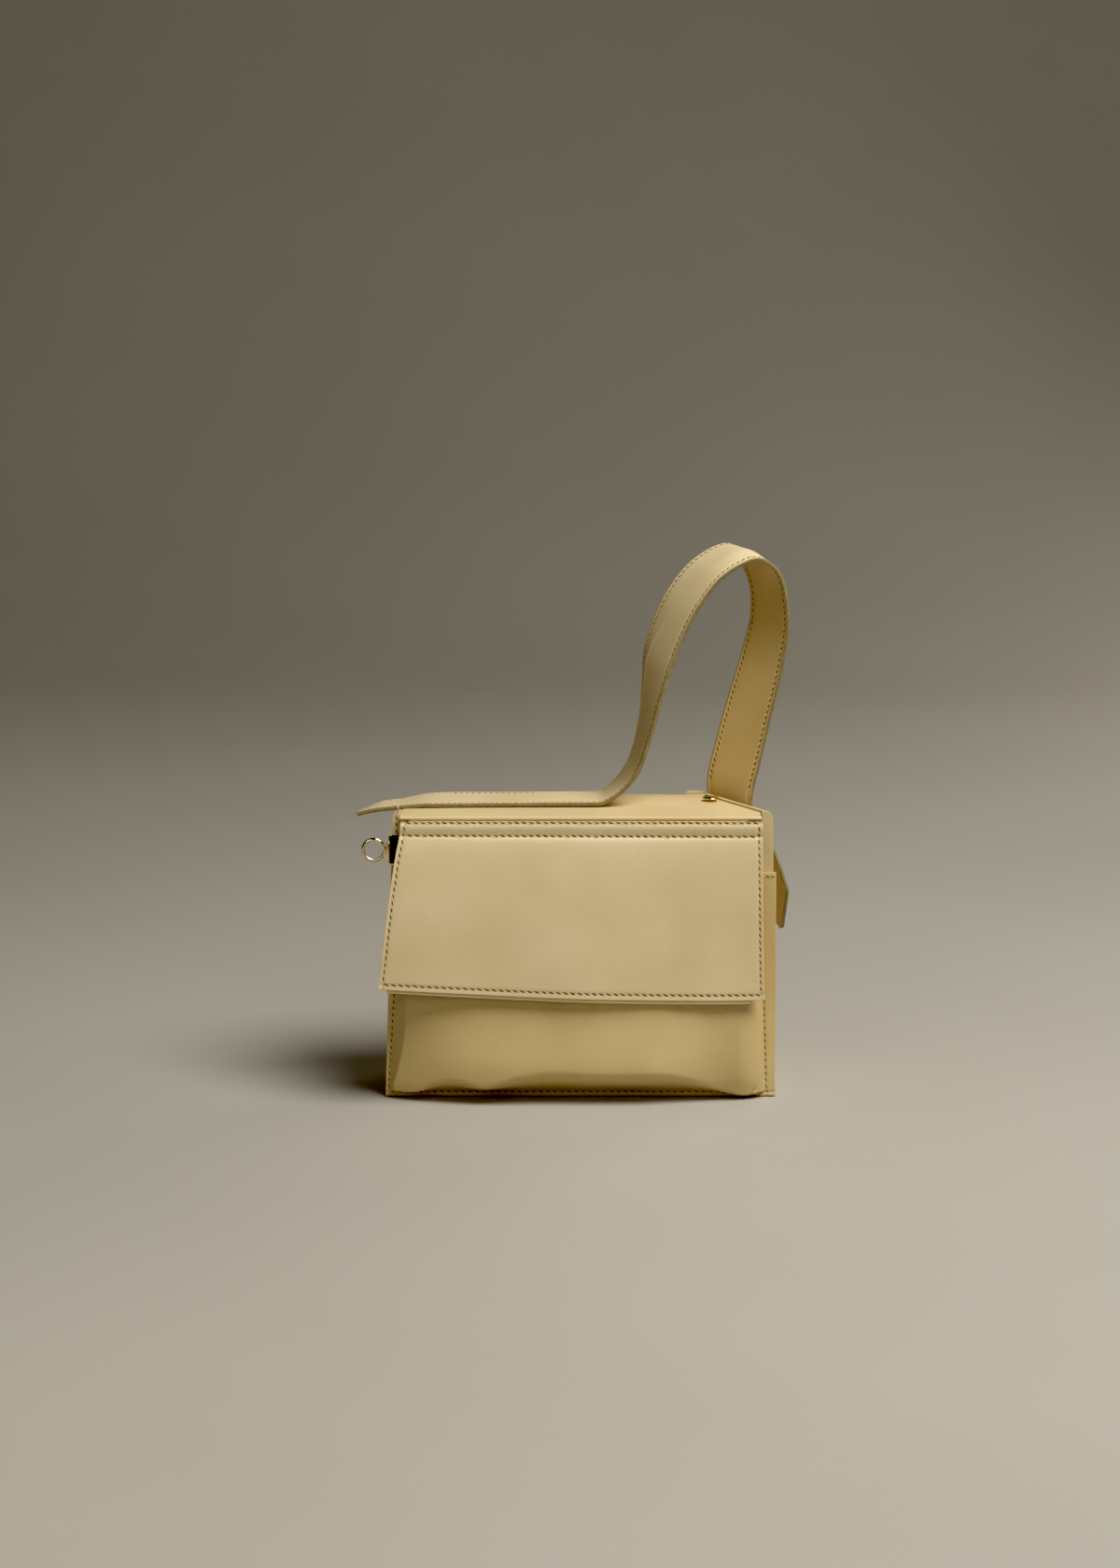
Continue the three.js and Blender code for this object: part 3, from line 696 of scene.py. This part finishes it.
def flapPoint(x, left, right, height):  # a place on the flap's outer face
    share = (x - left) / (right - left)
    sideways = np.abs(2 * share - 1) ** flap["sideCurve"]
    middle, leftOff, rightOff = readColumns(flapSections, "height", "middle leftOff rightOff", height)
    off = mix(middle, np.where(share < 0.5, leftOff, rightOff), sideways)
    for wave in flapWaves:
        off = off + wave["swell"] * bump(np.hypot(x - wave["x"], height - wave["height"]), wave["reach"])
    band = (height - flap["lowerRow"]) / (flap["upperRow"] - flap["lowerRow"])
    off = off + flap["puff"] * np.where((band > 0) & (band < 1), np.sin(np.pi * np.clip(band, 0, 1)), 0)
    for away in (x - left - flap["sideSeam"], right - x - flap["sideSeam"],
                 height - flap["bottom"] - flap["bottomSeam"],
                 height - flap["upperRow"], height - flap["lowerRow"]):
        off = off - flap["seamDepth"] * bump(away, flap["seamWidth"])
    lift = flap["leftLift"] * (1 - share) ** flap["liftCurve"]
    lift = lift * (flap["top"] - height) / (flap["top"] - flap["bottom"])
    z = height + lift
    return np.stack((x, atHeight("front", z) - off, z), axis=-1)


def flapEnds(height):
    return [float(end) for end in readColumns(flapSections, "height", "left right", height)]


def flapRows(left, right, below):  # rows of the sheet, its edges drawn in or let down by a little
    edge = (0, 0.4, 0.8, 1.2, 1.6, 1.9, 2.2, 2.6, 3.1, 3.8, 5.0, 6.5)
    lower = flap["bottom"] - below + np.array((0, 0.5, 1.0, 1.6, 2.2, 2.7, 3.2, 3.8, 4.6, 6.0))
    upper = flap["lowerRow"] + np.array((-4, -2.4, -1.5, -0.9, -0.4, 0, 0.4, 0.9, 1.5, 2.3, 3.3, 4.3, 5.1,
                                         5.7, 6.1, 6.4, 6.6, 6.8, 7.0, 7.2, 7.35))
    rows = []
    for height in np.concatenate((lower, np.linspace(lower[-1], upper[0], 52)[1:-1], upper)):
        ends = flapEnds(height)
        rows.append(flapPoint(between(ends[0] + left, ends[1] - right, edge, 90), *ends, height))
    return np.array(rows)


def behind(points, depth):  # the same rows, moved back through the sheet
    away = np.cross(np.gradient(points, axis=1), np.gradient(points, axis=0))
    return points - depth * away / np.linalg.norm(away, axis=2, keepdims=True)


def makeFlap():
    piece = layGrid("frontFlap", flapRows(0, 0, 0))
    inner = flapRows(flapLining["left"], flapLining["right"], flapLining["below"])
    lining = layGrid("flapLining", behind(inner, flapLining["under"]))
    for layer, size in ((piece, flap), (lining, flapLining)):
        finishPanel(layer, "front_flap", leather, size["layer"], size["rounding"])
    return piece


flapPiece = makeFlap()


# The strap: one two-layer belt

strap = {"width": 27.0, "thickness": 2.0, "tip": 20.0, "tipHalf": 0.8, "corner": 0.6, "seam": 2.3,
         "ridge": 2.2, "crestSoft": 0.03, "crestLow": 0.173, "crestSpan": 0.842,
         "crease": 0.8, "creaseWidth": 0.7, "seamBand": 9.2, "step": 2.0,
         "grooveDepth": 0.22, "grooveWidth": 0.6, "rimHollow": 0.14,
         "seamStart": 146.0, "pitch": 3.0, "stitchScale": 0.82, "stitchSunk": 0.06, "tipClear": 5,
         "tack": (-90.3, -10.8, 141.2), "tackScale": 1.35}
# The strap's middle line, its width's turn to the left, its far edge's lift, and its lengthwise crease
strapStations = table(
    "x y z turn lift ridge crest",
    (-110, 3, 136.6, -8, -6, 0, 0),
    (-100, 3, 139.7, -4, -3, 0, 0),
    (-88, 3, 141.2, -1, -2.4, 0, 0),
    (-78, 3, 142.7, 0, 0.5, 0, 0),
    (-68, 3, 143.1, 0, 2, 0, 0),
    (-40, 3, 143.3, 0, 1.7, 0, 0),
    (-6, 3, 143.6, 0, 1.7, 0, 0.1),
    (5.5, 3, 143.7, 2, 1.9, 0, 0.2),
    (10.2, 3, 144.1, 3, 2, 0.05, 0.3),
    (14.0, 3, 146, 4, 2.4, 0.1, 0.35),
    (20.4, 3, 151.2, 5, 3.4, 0.3, 0.42),
    (26.9, 3, 160.6, 7, 5, 0.6, 0.45),
    (33.1, 3, 181, 11, 5, 0.75, 0.5),
    (36.4, 3.5, 200, 20, 5, 0.7, 0.52),
    (40, 4, 218, 31, 10, 0.4, 0.52),
    (51, 6, 243.4, 33, 14, 0.1, 0),
    (65, 9, 259.5, 31, 13, 0.5, -0.2),
    (80, 13.5, 265.1, 28, 12, 1.15, -0.25),
    (91, 17, 254.6, 33, -7, 0.8, -0.2),
    (94.8, 19, 234, 40, 2, 0.15, -0.1),
    (91.2, 20.5, 211, 47, 9, 0, 0),
    (85.2, 21.5, 187, 53, 10, 0, 0),
    (79.3, 22.3, 162, 58, 9, 0, 0),
    (76.4, 22.8, 149, 57, 7, 0, 0),
    (76.1, 23, 140, 52, 1, 0, 0),
    (78.6, 23, 131.5, 44, -10, 0, 0),
    (84.4, 22.4, 123, 37, -16, 0, 0),
    (91, 21.6, 111.5, 33, -14, 0, 0),
    (97, 21, 96.5, 31, -10, 0, 0),
    (102.8, 20.5, 73.5, 30, -9, 0, 0),
)


def smoothRoute(points, steps):  # a curve that bends evenly through unevenly spaced points
    points = np.asarray(points, float)
    held = np.vstack((2 * points[0] - points[1], points, 2 * points[-1] - points[-2]))
    places = []
    for a, b, c, d in zip(held, held[1:], held[2:], held[3:]):
        ab, bc, cd = (np.linalg.norm(q - p) ** 0.5 for p, q in ((a, b), (b, c), (c, d)))
        leave = ((b - a) / ab - (c - a) / (ab + bc) + (c - b) / bc) * bc
        arrive = ((c - b) / bc - (d - b) / (bc + cd) + (d - c) / cd) * bc
        for t in np.arange(steps) / steps:
            places.append(curve(t, b, leave, c, arrive))
    return np.vstack((places, points[-1]))


def strapFrames():  # evenly spaced middles, directions, half widths and ridge shares
    steps = 24
    route = smoothRoute([(s["x"], s["y"], s["z"]) for s in strapStations], steps)
    station = np.arange(len(route)) / steps
    numbered = [dict(s, number=i) for i, s in enumerate(strapStations)]
    length = np.concatenate(([0], np.cumsum(np.linalg.norm(np.diff(route, axis=0), axis=1))))
    even = np.linspace(0, length[-1], int(length[-1] / strap["step"]) + 1)
    number = np.interp(even, length, station)
    middle = np.stack([np.interp(even, length, route[:, k]) for k in range(3)], axis=1)
    tangent = np.gradient(middle, even, axis=0)
    tangent /= np.linalg.norm(tangent, axis=1, keepdims=True)
    turn, lift = np.radians(readColumns(numbered, "number", "turn lift", number))
    width = np.stack((-np.sin(turn) * np.cos(lift), np.cos(turn) * np.cos(lift), np.sin(lift)), axis=1)
    width -= tangent * np.sum(width * tangent, axis=1, keepdims=True)
    width /= np.linalg.norm(width, axis=1, keepdims=True)
    outward = np.cross(tangent, width)
    half = mix(strap["tipHalf"], strap["width"] / 2, np.clip((length[-1] - even) / strap["tip"], 0, 1))
    ridge, crest = readColumns(numbered, "number", "ridge crest", number)
    return middle, width, outward, half, ridge, crest, even


def strapRidge(across, crest):  # a bend along the strap, with a fine pressed line on a far crest
    aside = np.where(across > crest, (across - crest) / (1 - crest), (crest - across) / (1 + crest))
    fold = 1 - (np.sqrt(aside ** 2 + strap["crestSoft"]) - strap["crestLow"]) / strap["crestSpan"]
    line = bump((across - crest) * strap["width"] / 2, strap["creaseWidth"])
    return strap["ridge"] * fold + strap["crease"] * np.maximum(crest, 0) * line


def towardsCrest(across, crest):  # slides the columns between the seams over to the crest
    reach = 1 - strap["seamBand"] / strap["width"]
    return across + crest * np.maximum(1 - np.abs(across) / reach, 0)


def strapSection():  # across, outward, is it rim: outer face, rim, inner face, rim
    half, thick, corner = strap["width"] / 2, strap["thickness"] / 2, strap["corner"]
    inset = np.array((0.6, 1.1, 1.6, 2.0, 2.3, 2.6, 3.0, 3.6, 4.6))
    middle = np.array((7.4, 5.8, 4.4, 3.2, 2.2, 1.5, 1.0, 0.6, 0.3, 0))
    face = np.concatenate((half - inset, middle, -middle[-2::-1], -half + inset[::-1]))
    inSeam = [bump(half - strap["seam"] + way * face, strap["grooveWidth"]) for way in (-1, 1)]
    pulled = strap["grooveDepth"] * (inSeam[0] + inSeam[1])
    rim = [(half - corner + corner * math.sin(a), thick - corner + corner * math.cos(a))
           for a in (0.5, 1.0, math.pi / 2)]
    rim = rim + [(half - strap["rimHollow"], 0.0)] + [(a, -o) for a, o in reversed(rim)]
    section = [(a, thick - g, False) for a, g in zip(face, pulled)]
    section += [(-a, o, True) for a, o in rim]
    section += [(a, -thick + g, False) for a, g in zip(face[::-1], pulled[::-1])]
    section += [(a, o, True) for a, o in reversed(rim)]
    return section + section[:1]


def makeStrap():
    middle, width, outward, half, ridge, crest, _ = strapFrames()
    section = strapSection()
    across = np.array([s[0] for s in section]) / (strap["width"] / 2)
    out = np.array([s[1] for s in section])
    rows = []
    order = [0] + list(range(len(middle))) + [len(middle) - 1]
    for k, i in enumerate(order):
        flat = k in (0, len(order) - 1)  # the first and last rows close the ends
        place = towardsCrest(across, crest[i])
        lift = strapRidge(place, crest[i]) * ridge[i] + (0 if flat else out)
        rows.append(middle[i] + np.outer(place * half[i], width[i]) + np.outer(lift, outward[i]))
    piece = layGrid("strap", np.array(rows))
    wear(piece, leather, strapEdge, liningPaintedShadeLeather)
    columns = len(section) - 1
    # the inner face wears the golden lining copy, whose colour is painted shade
    finish = [1 if here[2] or after[2] else 2 if here[1] < 0 else 0  # rim, lining or outer face
              for here, after in zip(section, section[1:])]
    paint = np.tile(finish, len(order) - 1).reshape(-1, columns)
    paint[0] = paint[-1] = 1
    piece.data.polygons.foreach_set("material_index", paint.astype(np.int32).ravel())
    onlySelect(piece)
    editMode(True)
    bpy.ops.mesh.select_all(action="SELECT")
    bpy.ops.mesh.remove_doubles(threshold=0.002 * mm)
    bpy.ops.mesh.normals_make_consistent(inside=False)
    editMode(False)
    bpy.ops.object.shade_smooth_by_angle(angle=math.radians(60))
    settle(piece, "leather", "strap")
    return piece


strapPiece = makeStrap()

anchor = {"left": 53.2, "right": 62.8, "bottom": 130.0, "top": 142.6, "wall": 1.2,
          "corner": 2.0, "rounding": 0.4}


def makeAnchor():
    size = anchor
    points = []
    for z in np.linspace(size["bottom"], size["top"], 15):
        end = min(z - size["bottom"], size["top"] - z)
        pull = size["corner"] - math.sqrt(max(size["corner"] ** 2 - max(size["corner"] - end, 0) ** 2, 0))
        y = atHeight("rear", z) + body["gap"] + size["wall"]
        points.append([(x, y, z) for x in np.linspace(size["right"], size["left"] + pull, 13)])
    piece = layGrid("strapAnchor", points)
    finishPanel(piece, "strap_anchor", leather, size["wall"], size["rounding"])


makeAnchor()


# Gold hardware

rivet = {"x": 65.5, "y": 8.5, "cap": 4.1, "dome": 1.2, "rim": 0.35, "lift": 0.2, "bevel": 0.12}


def makeRivet():
    deselectAll()
    bpy.ops.mesh.primitive_uv_sphere_add(segments=40, ring_count=24, radius=rivet["cap"] * mm)
    piece = bpy.context.object
    piece.name = "rivet"
    editMode(True)
    bpy.ops.mesh.select_all(action="SELECT")
    bpy.ops.mesh.bisect(plane_co=(0, 0, 0), plane_no=(0, 0, 1), use_fill=True, clear_inner=True)
    bpy.ops.mesh.select_all(action="SELECT")
    bpy.ops.transform.resize(value=(1, 1, (rivet["dome"] - rivet["rim"]) / rivet["cap"]))
    editMode(False)
    pickFaces(piece, lambda face: face.normal.z < -0.9)
    bpy.ops.mesh.extrude_region_move(TRANSFORM_OT_translate={"value": (0, 0, -rivet["rim"] * mm)})
    editMode(False)
    piece.location = (rivet["x"] * mm, rivet["y"] * mm, (body["height"] + rivet["lift"] + rivet["rim"]) * mm)
    bpy.ops.object.transform_apply(location=True, rotation=False, scale=False)
    bevel(piece, rivet["bevel"] * mm, 2, 50)
    onlySelect(piece)
    bpy.ops.object.shade_smooth_by_angle(angle=math.radians(40))
    wear(piece, gold)
    settle(piece, "gold", "rivet")


clip = {"thickness": 1.0, "bottom": 117.0, "top": 132.0, "plate": 4.2, "plateTurn": 0.12, "sidePlate": 8.0,
        "corner": 2.2, "chamfer": 1.0, "fold": 1.3, "lean": 1.8, "bevel": 0.42, "satinHighlightRim": 0.3}
ring = {"outer": 6.0, "wire": 1.6, "x": -101.4, "z": 124.0, "setBack": 1.5, "margin": 0.1, "innerSide": 0.62}
neck = {"width": 1.5, "bar": 1.2, "barDepth": 2.4, "barBottom": 118.4, "barTop": 127.2, "barBevel": 0.35,
        "barInto": 0.3, "margin": 0.05,
        "fan": 0.62, "fanInset": 0.6, "fanBevel": 0.3, "fanInto": 0.2, "fanOverWire": 0.8}
frontY = atHeight("front", clip["bottom"]) - body["gap"] - clip["thickness"]
outerX = atHeight("left", clip["bottom"]) - body["gap"] - clip["thickness"]
ringY = frontY + clip["thickness"] * ring["setBack"]


def addBlock(low, high):
    deselectAll()
    middle = [(a + b) / 2 * mm for a, b in zip(low, high)]
    bpy.ops.mesh.primitive_cube_add(size=1, location=middle, scale=[(b - a) * mm for a, b in zip(low, high)])
    bpy.ops.object.transform_apply(location=True, rotation=False, scale=True)
    return bpy.context.object


def roundEdges(piece, width):
    bevel(piece, width * mm, 3, 40)
    onlySelect(piece)
    bpy.ops.object.shade_smooth_by_angle(angle=math.radians(35))


def makePlate():  # bent round the bag's left front edge
    size = clip
    sideY = gussetFront((size["bottom"] + size["top"]) / 2)
    plan = [(outerX + size["thickness"] + size["plate"] * s, frontY)
            for s in np.linspace(1, size["plateTurn"], 14)]
    plan += [(outerX + size["fold"] * (1 - math.sin(a)), frontY + size["fold"] * (1 - math.cos(a)))
             for a in np.linspace(0, math.pi / 2, 9)]
    plan += [(outerX, y) for y in np.linspace(frontY + size["fold"], sideY, 6)[1:]]
    plan += [(outerX + d * math.sin(slant), sideY + d * math.cos(slant))
             for d in np.linspace(0, size["sidePlate"], 12)[1:]]
    points = []
    for share in np.linspace(0, 1, 15):
        row = []
        for x, y in reversed(plan):
            inward = np.clip((x - outerX) / size["corner"], 0, 1)
            top = size["top"] - size["corner"] * (1 - math.sqrt(1 - (1 - inward) ** 2))
            if y >= sideY:
                top = size["top"] - size["corner"]
            low = size["bottom"] + size["chamfer"] * (1 - np.clip((x - outerX) / size["chamfer"], 0, 1))
            lean = size["lean"] * (1 - share) * np.clip((sideY - y) / (sideY - frontY), 0, 1)
            row.append((x, y - lean, mix(low, top, share)))
        points.append(row)
    piece = layGrid("edgeClip", points)
    useModifier(piece, "SOLIDIFY", thickness=size["thickness"] * mm, offset=-1, use_even_offset=True)
    roundEdges(piece, size["bevel"])
    return piece


def makeRing():
    deselectAll()
    bpy.ops.mesh.primitive_torus_add(
        major_segments=72, minor_segments=18, rotation=(math.pi / 2, 0, 0),
        location=(ring["x"] * mm, ringY * mm, ring["z"] * mm),
        major_radius=(ring["outer"] - ring["wire"] / 2) * mm, minor_radius=ring["wire"] / 2 * mm)
    bpy.ops.object.shade_smooth()
    return bpy.context.object


def makeNeck():  # a bar on the plate and a fan that narrows to the ring
    barLeft = outerX - neck["bar"]
    bar = addBlock((barLeft, ringY - neck["barDepth"] / 2, neck["barBottom"]),
                   (outerX + neck["barInto"], ringY + neck["barDepth"] / 2, neck["barTop"]))
    roundEdges(bar, neck["barBevel"])
    fanStart = ring["x"] + ring["outer"] - ring["wire"] * neck["fanOverWire"]
    fan = addBlock((fanStart, ringY - neck["width"] / 2, neck["barBottom"] + neck["fanInset"]),
                   (barLeft + neck["fanInto"], ringY + neck["width"] / 2, neck["barTop"] - neck["fanInset"]))
    pickFaces(fan, lambda face: face.normal.x < -0.9)
    bpy.ops.transform.resize(value=(1, 1, neck["fan"]),
                             center_override=(fanStart * mm, ringY * mm, ring["z"] * mm))
    editMode(False)
    roundEdges(fan, neck["fanBevel"])
    return bar, fan


def makeClip():
    piece = makePlate()
    joinInto(piece, makeRing(), *makeNeck())
    bpy.ops.object.transform_apply(location=True, rotation=True, scale=True)
    wear(piece, gold, satinGoldPaintedHighlight)
    # The satin copy's paler colour on these faces is a painted highlight.
    for face in piece.data.polygons:  # the plate's rims, the bar and the ring's inner side are satin
        x, _, z = face.center / mm
        fromRing = math.hypot(x - ring["x"], z - ring["z"])
        inRing = fromRing < ring["outer"] + ring["margin"]
        inside = fromRing < ring["outer"] - ring["wire"] * ring["innerSide"]
        rim = abs(face.normal.z) > clip["satinHighlightRim"] or x < outerX - neck["margin"]
        face.material_index = int(inside if inRing else rim)
    settle(piece, "gold", "edge_clip")


makeRivet()
makeClip()


# Seams: one stitch and one needle hole, a dark bead of painted shade, are shaped once and copied along every
# seam

stitch = {"pitch": 3.5, "thread": (3.0, 0.8, 0.5), "hole": (2.9, 0.9, 0.5),
          "threadSlant": 19, "holeSlant": 23, "threadPlace": (-0.35, -0.56), "holePlace": (0.25, 0.12),
          "threadRaise": 0.03, "holeRaise": 0.08,
          "aim": 0.4, "castFrom": 4, "castReach": 9}


def shapeBead(segments, rings, size):
    deselectAll()
    bpy.ops.mesh.primitive_uv_sphere_add(segments=segments, ring_count=rings, radius=0.5,
                                         rotation=(0, math.pi / 2, 0))
    bead = bpy.context.object
    bpy.ops.object.transform_apply(location=False, rotation=True, scale=False)
    corners = np.array([v.co[:] for v in bead.data.vertices]) * np.array(size)
    faces = [list(f.vertices) for f in bead.data.polygons]
    bpy.data.objects.remove(bead)
    return corners, faces


threadBead = shapeBead(8, 6, stitch["thread"])
# each needle hole is a dark bead on the surface, painted shade in place of a recess
holeShadeBead = shapeBead(8, 4, stitch["hole"])


def sewn(path, pitch):  # places along a path, one pitch apart, with their directions
    path = np.asarray(path, float)
    length = np.concatenate(([0], np.cumsum(np.linalg.norm(np.diff(path, axis=0), axis=1))))
    count = max(int(round(length[-1] / pitch)), 1)
    even = (np.arange(count) + 0.5) / count * length[-1]
    place = lambda at: np.stack([np.interp(at, length, path[:, k]) for k in range(3)], axis=-1)
    aim = stitch["aim"]
    ahead = place(np.minimum(even + aim, length[-1])) - place(np.maximum(even - aim, 0))
    return place(even), ahead / np.linalg.norm(ahead, axis=1, keepdims=True), even / length[-1]


def sewRow(kit, piece, path, inward, side=1, pitch=stitch["pitch"], scale=1.0, sunk=0.0):
    inward = np.asarray(inward, float)
    places, ahead, share = sewn(path, pitch)
    for place, along, at in zip(places, ahead, share):
        into = inward if inward.ndim == 1 else inward[int(round(at * (len(inward) - 1)))]
        into = into / np.linalg.norm(into)
        start = Vector((place - into * stitch["castFrom"]) * mm)
        hit, where, normal, _ = piece.ray_cast(start, Vector(into), distance=stitch["castReach"] * mm)
        if not hit:
            continue
        up = np.array(normal)
        up = -up if np.dot(up, into) > 0 else up
        along = along - up * np.dot(along, up)
        along /= np.linalg.norm(along)
        beside = np.cross(up, along) * side
        for part, shape in (("thread", threadBead), ("hole", holeShadeBead)):
            angle = math.radians(stitch[part + "Slant"])
            forward = along * math.cos(angle) - beside * math.sin(angle)
            shift, aside = stitch[part + "Place"]
            turned = np.array((forward, np.cross(up, forward), up))
            centre = np.array(where) / mm + (along * shift + beside * aside) * scale
            centre = centre + up * (stitch[part + "Raise"] * scale - sunk)
            kit[part].append((shape[0] * scale @ turned + centre, shape[1]))


rearward = np.array((0, 1.0, 0))  # from the front of the bag to its back


def newKit():
    return {"thread": [], "hole": []}


def finishSeams(name, kit):
    corners, faces, finish, start = [], [], [], 0
    for index, part in enumerate(("thread", "hole")):
        for spots, beadFaces in kit[part]:
            corners.append(spots)
            faces += [[start + v for v in face] for face in beadFaces]
            finish += [index] * len(beadFaces)
            start += len(spots)
    mesh = bpy.data.meshes.new(name)
    mesh.from_pydata((np.concatenate(corners) * mm).tolist(), [], faces)
    mesh.materials.append(thread)
    mesh.materials.append(needleHoleShade)
    mesh.polygons.foreach_set("material_index", finish)
    mesh.polygons.foreach_set("use_smooth", [True] * len(faces))
    settle(putIn(name, mesh), "leather")


def sewFlap():
    kit = newKit()
    inset, lowest = flap["sideSeam"], flap["bottom"] + flap["bottomSeam"]
    for height, extra in ((flap["upperRow"], 0), (flap["lowerRow"], flap["lowerInset"]), (lowest, 0)):
        left, right = flapEnds(height)
        xs = np.linspace(left + inset + extra, right - inset - extra, 60)
        sewRow(kit, flapPiece, flapPoint(xs, left, right, height), rearward)
    for name in ("left", "right"):
        path = []
        for height in np.linspace(lowest + flap["cornerGap"], flap["upperRow"] - flap["cornerGap"], 50):
            left, right = flapEnds(height)
            path.append(flapPoint(left + inset if name == "left" else right - inset, left, right, height))
        sewRow(kit, flapPiece, path, rearward, -1, flap["sidePitch"], flap["sideScale"])
    finishSeams("flapStitches", kit)


def sewPocket():
    kit = newKit()
    onFace = lambda x, z: (x, atHeight("front", z) - pocket["flange"], z)
    scale = pocket["stitchScale"]
    heights = np.linspace(pocket["bottomSeam"] + 1, pocket["top"] - 1, 60)
    for name in ("left", "right"):
        path = [onFace(pocketSeam(name, z), z) for z in heights]
        sewRow(kit, pocketPiece, path, rearward, -1, pocket["sidePitch"], scale)
    low = pocket["bottomSeam"]
    ends = pocketSeam("left", low), pocketRight(low) - pocket["lowEnd"]
    path = [onFace(x, low) for x in np.linspace(*ends, 40)]
    sewRow(kit, pocketPiece, path, rearward, 1, pocket["lowPitch"], scale)
    hem = pocket["top"] - pocket["hemDrop"]
    ends = [pocketRight(hem) - inset for inset in pocket["hemEnds"]]
    path = [onFace(x, hem) for x in np.linspace(*ends, 6)]
    sewRow(kit, pocketPiece, path, rearward, 1, pocket["hemPitch"], scale)
    finishSeams("pocketStitches", kit)


def sewBody():
    kit = newKit()
    ear = np.linspace(frontPanel["seamLow"], frontPanel["leftEar"] - frontPanel["seamBelowEar"], 12)
    path = [(atHeight("left", z) + frontPanel["seam"], atHeight("front", z), z) for z in ear]
    sewRow(kit, frontPanelPiece, path, rearward, -1, frontPanel["pitch"], frontPanel["stitchScale"])
    seam, top = body["seam"], body["height"]
    heights = np.linspace(seam, top - seam, 30)
    for name, inset in (("rearLeft", seam), ("rearRight", -seam)):
        path = [(atHeight(name, z) + inset, atHeight("rear", z), z) for z in heights]
        sewRow(kit, backPanelPiece, path, -rearward)
    for z in (seam, top - seam):
        ends = (atHeight("rearLeft", z) + seam + backPanel["corner"],
                atHeight("rearRight", z) - seam - backPanel["corner"])
        path = [(x, atHeight("rear", z), z) for x in np.linspace(*ends, 30)]
        sewRow(kit, backPanelPiece, path, -rearward)
    finishSeams("bodyStitches", kit)


def sewStrap():
    kit = newKit()
    middle, width, outward, half, ridge, crest, even = strapFrames()
    outside, inside = even < even[-1] - strap["tipClear"], middle[:, 2] > strap["seamStart"]
    for edge in (1, -1):
        for face, keep in ((1, outside), (-1, inside)):
            across = np.maximum(half - strap["seam"], 0.3) * edge
            lift = strapRidge(across / half, crest) * ridge + face * strap["thickness"] / 2
            path = middle + width * across[:, None] + outward * lift[:, None]
            sewRow(kit, strapPiece, path[keep][1:], -outward[keep][1:] * face, edge * face,
                   strap["pitch"], strap["stitchScale"], strap["stitchSunk"])
    turned = np.array(((0, 0, 1), (1, 0, 0), (0, -1, 0)))
    tack = threadBead[0] * strap["tackScale"] @ turned + np.array(strap["tack"])
    kit["thread"].append((tack, threadBead[1]))
    finishSeams("strapStitches", kit)


bpy.context.view_layer.update()
sewFlap()
sewPocket()
sewBody()
sewStrap()


# Floor, light and camera

floor = {"reach": 6.0, "height": 3.0, "behind": 2.2, "curve": 0.9,
         "pale": (176, 170, 158), "deep": (172, 166, 154), "roughness": 0.9}


def makeFloor():
    deselectAll()
    bpy.ops.mesh.primitive_plane_add(size=floor["reach"] * 2, location=(0, 0, 0))
    sweep = bpy.context.object
    sweep.name = "studioFloor"
    editMode(True)
    bpy.ops.mesh.select_all(action="DESELECT")
    editMode(False)
    for corner in sweep.data.vertices:
        if corner.co.y > 0:
            corner.co.y = floor["behind"]
    for edge in sweep.data.edges:
        edge.select = all(sweep.data.vertices[v].co.y > 0 for v in edge.vertices)
    editMode(True)
    bpy.ops.mesh.extrude_edges_move(TRANSFORM_OT_translate={"value": (0, 0, floor["height"])})
    editMode(False)
    bevel(sweep, floor["curve"], 16, 60)
    bpy.ops.object.shade_smooth()
    paper, nodes, links, shader = startMaterial("studioPaper")
    fibre = addNoise(nodes, links, 3)
    tint(nodes, links, shader, fibre, floor)
    shader.inputs["Roughness"].default_value = floor["roughness"]
    wear(sweep, paper)


lightAim = (0, 0, 0.1)
studioLights = table(  # where each soft box stands, its size, power and colour
    "name place size power colour",
    ("keyLight", (0.62, -0.53, 1.49), 1.0, 31.4, (1.0, 1.0, 1.0)),
    ("frontLight", (-0.45, -0.85, 0.5), 0.35, 0.95, (1.0, 0.92, 0.74)),
    ("rearLight", (1.3, 1.25, 0.55), 0.7, 7.0, (1.0, 0.96, 0.88)),
)
surround = {"colour": (1.0, 0.76, 0.36, 1.0), "strength": 0.024}
darkest = 0.03  # light below this shows as black


def makeLights():
    for light in studioLights:
        lamp = bpy.data.lights.new(light["name"], "AREA")
        lamp.shape = "DISK"
        lamp.size = light["size"]
        lamp.energy = light["power"]
        lamp.color = light["colour"]
        holder = putIn(light["name"], lamp)
        holder.location = light["place"]
        towards = Vector(lightAim) - Vector(light["place"])
        holder.rotation_euler = towards.to_track_quat("-Z", "Y").to_euler()
    world = bpy.data.worlds.new("studioAir")
    world.use_nodes = True
    air = world.node_tree.nodes["Background"]
    air.inputs["Color"].default_value = surround["colour"]
    air.inputs["Strength"].default_value = surround["strength"]
    bpy.context.scene.world = world


camera = {"place": (-10.0, -1503.9, 430.4), "down": 10.5, "lens": 70.54, "sensor": 36.0}


def makeCamera():
    lens = bpy.data.cameras.new("photoCamera")
    lens.lens = camera["lens"]
    lens.sensor_width = camera["sensor"]
    holder = putIn("photoCamera", lens)
    holder.location = Vector(camera["place"]) * mm
    holder.rotation_euler = (math.radians(90 - camera["down"]), 0, 0)
    bpy.context.scene.camera = holder


makeFloor()
makeLights()
makeCamera()
view = bpy.context.scene.view_settings
view.view_transform = "Standard"
view.use_curve_mapping = True
view.curve_mapping.black_level = (darkest, darkest, darkest)
view.curve_mapping.update()
print("stage ready")
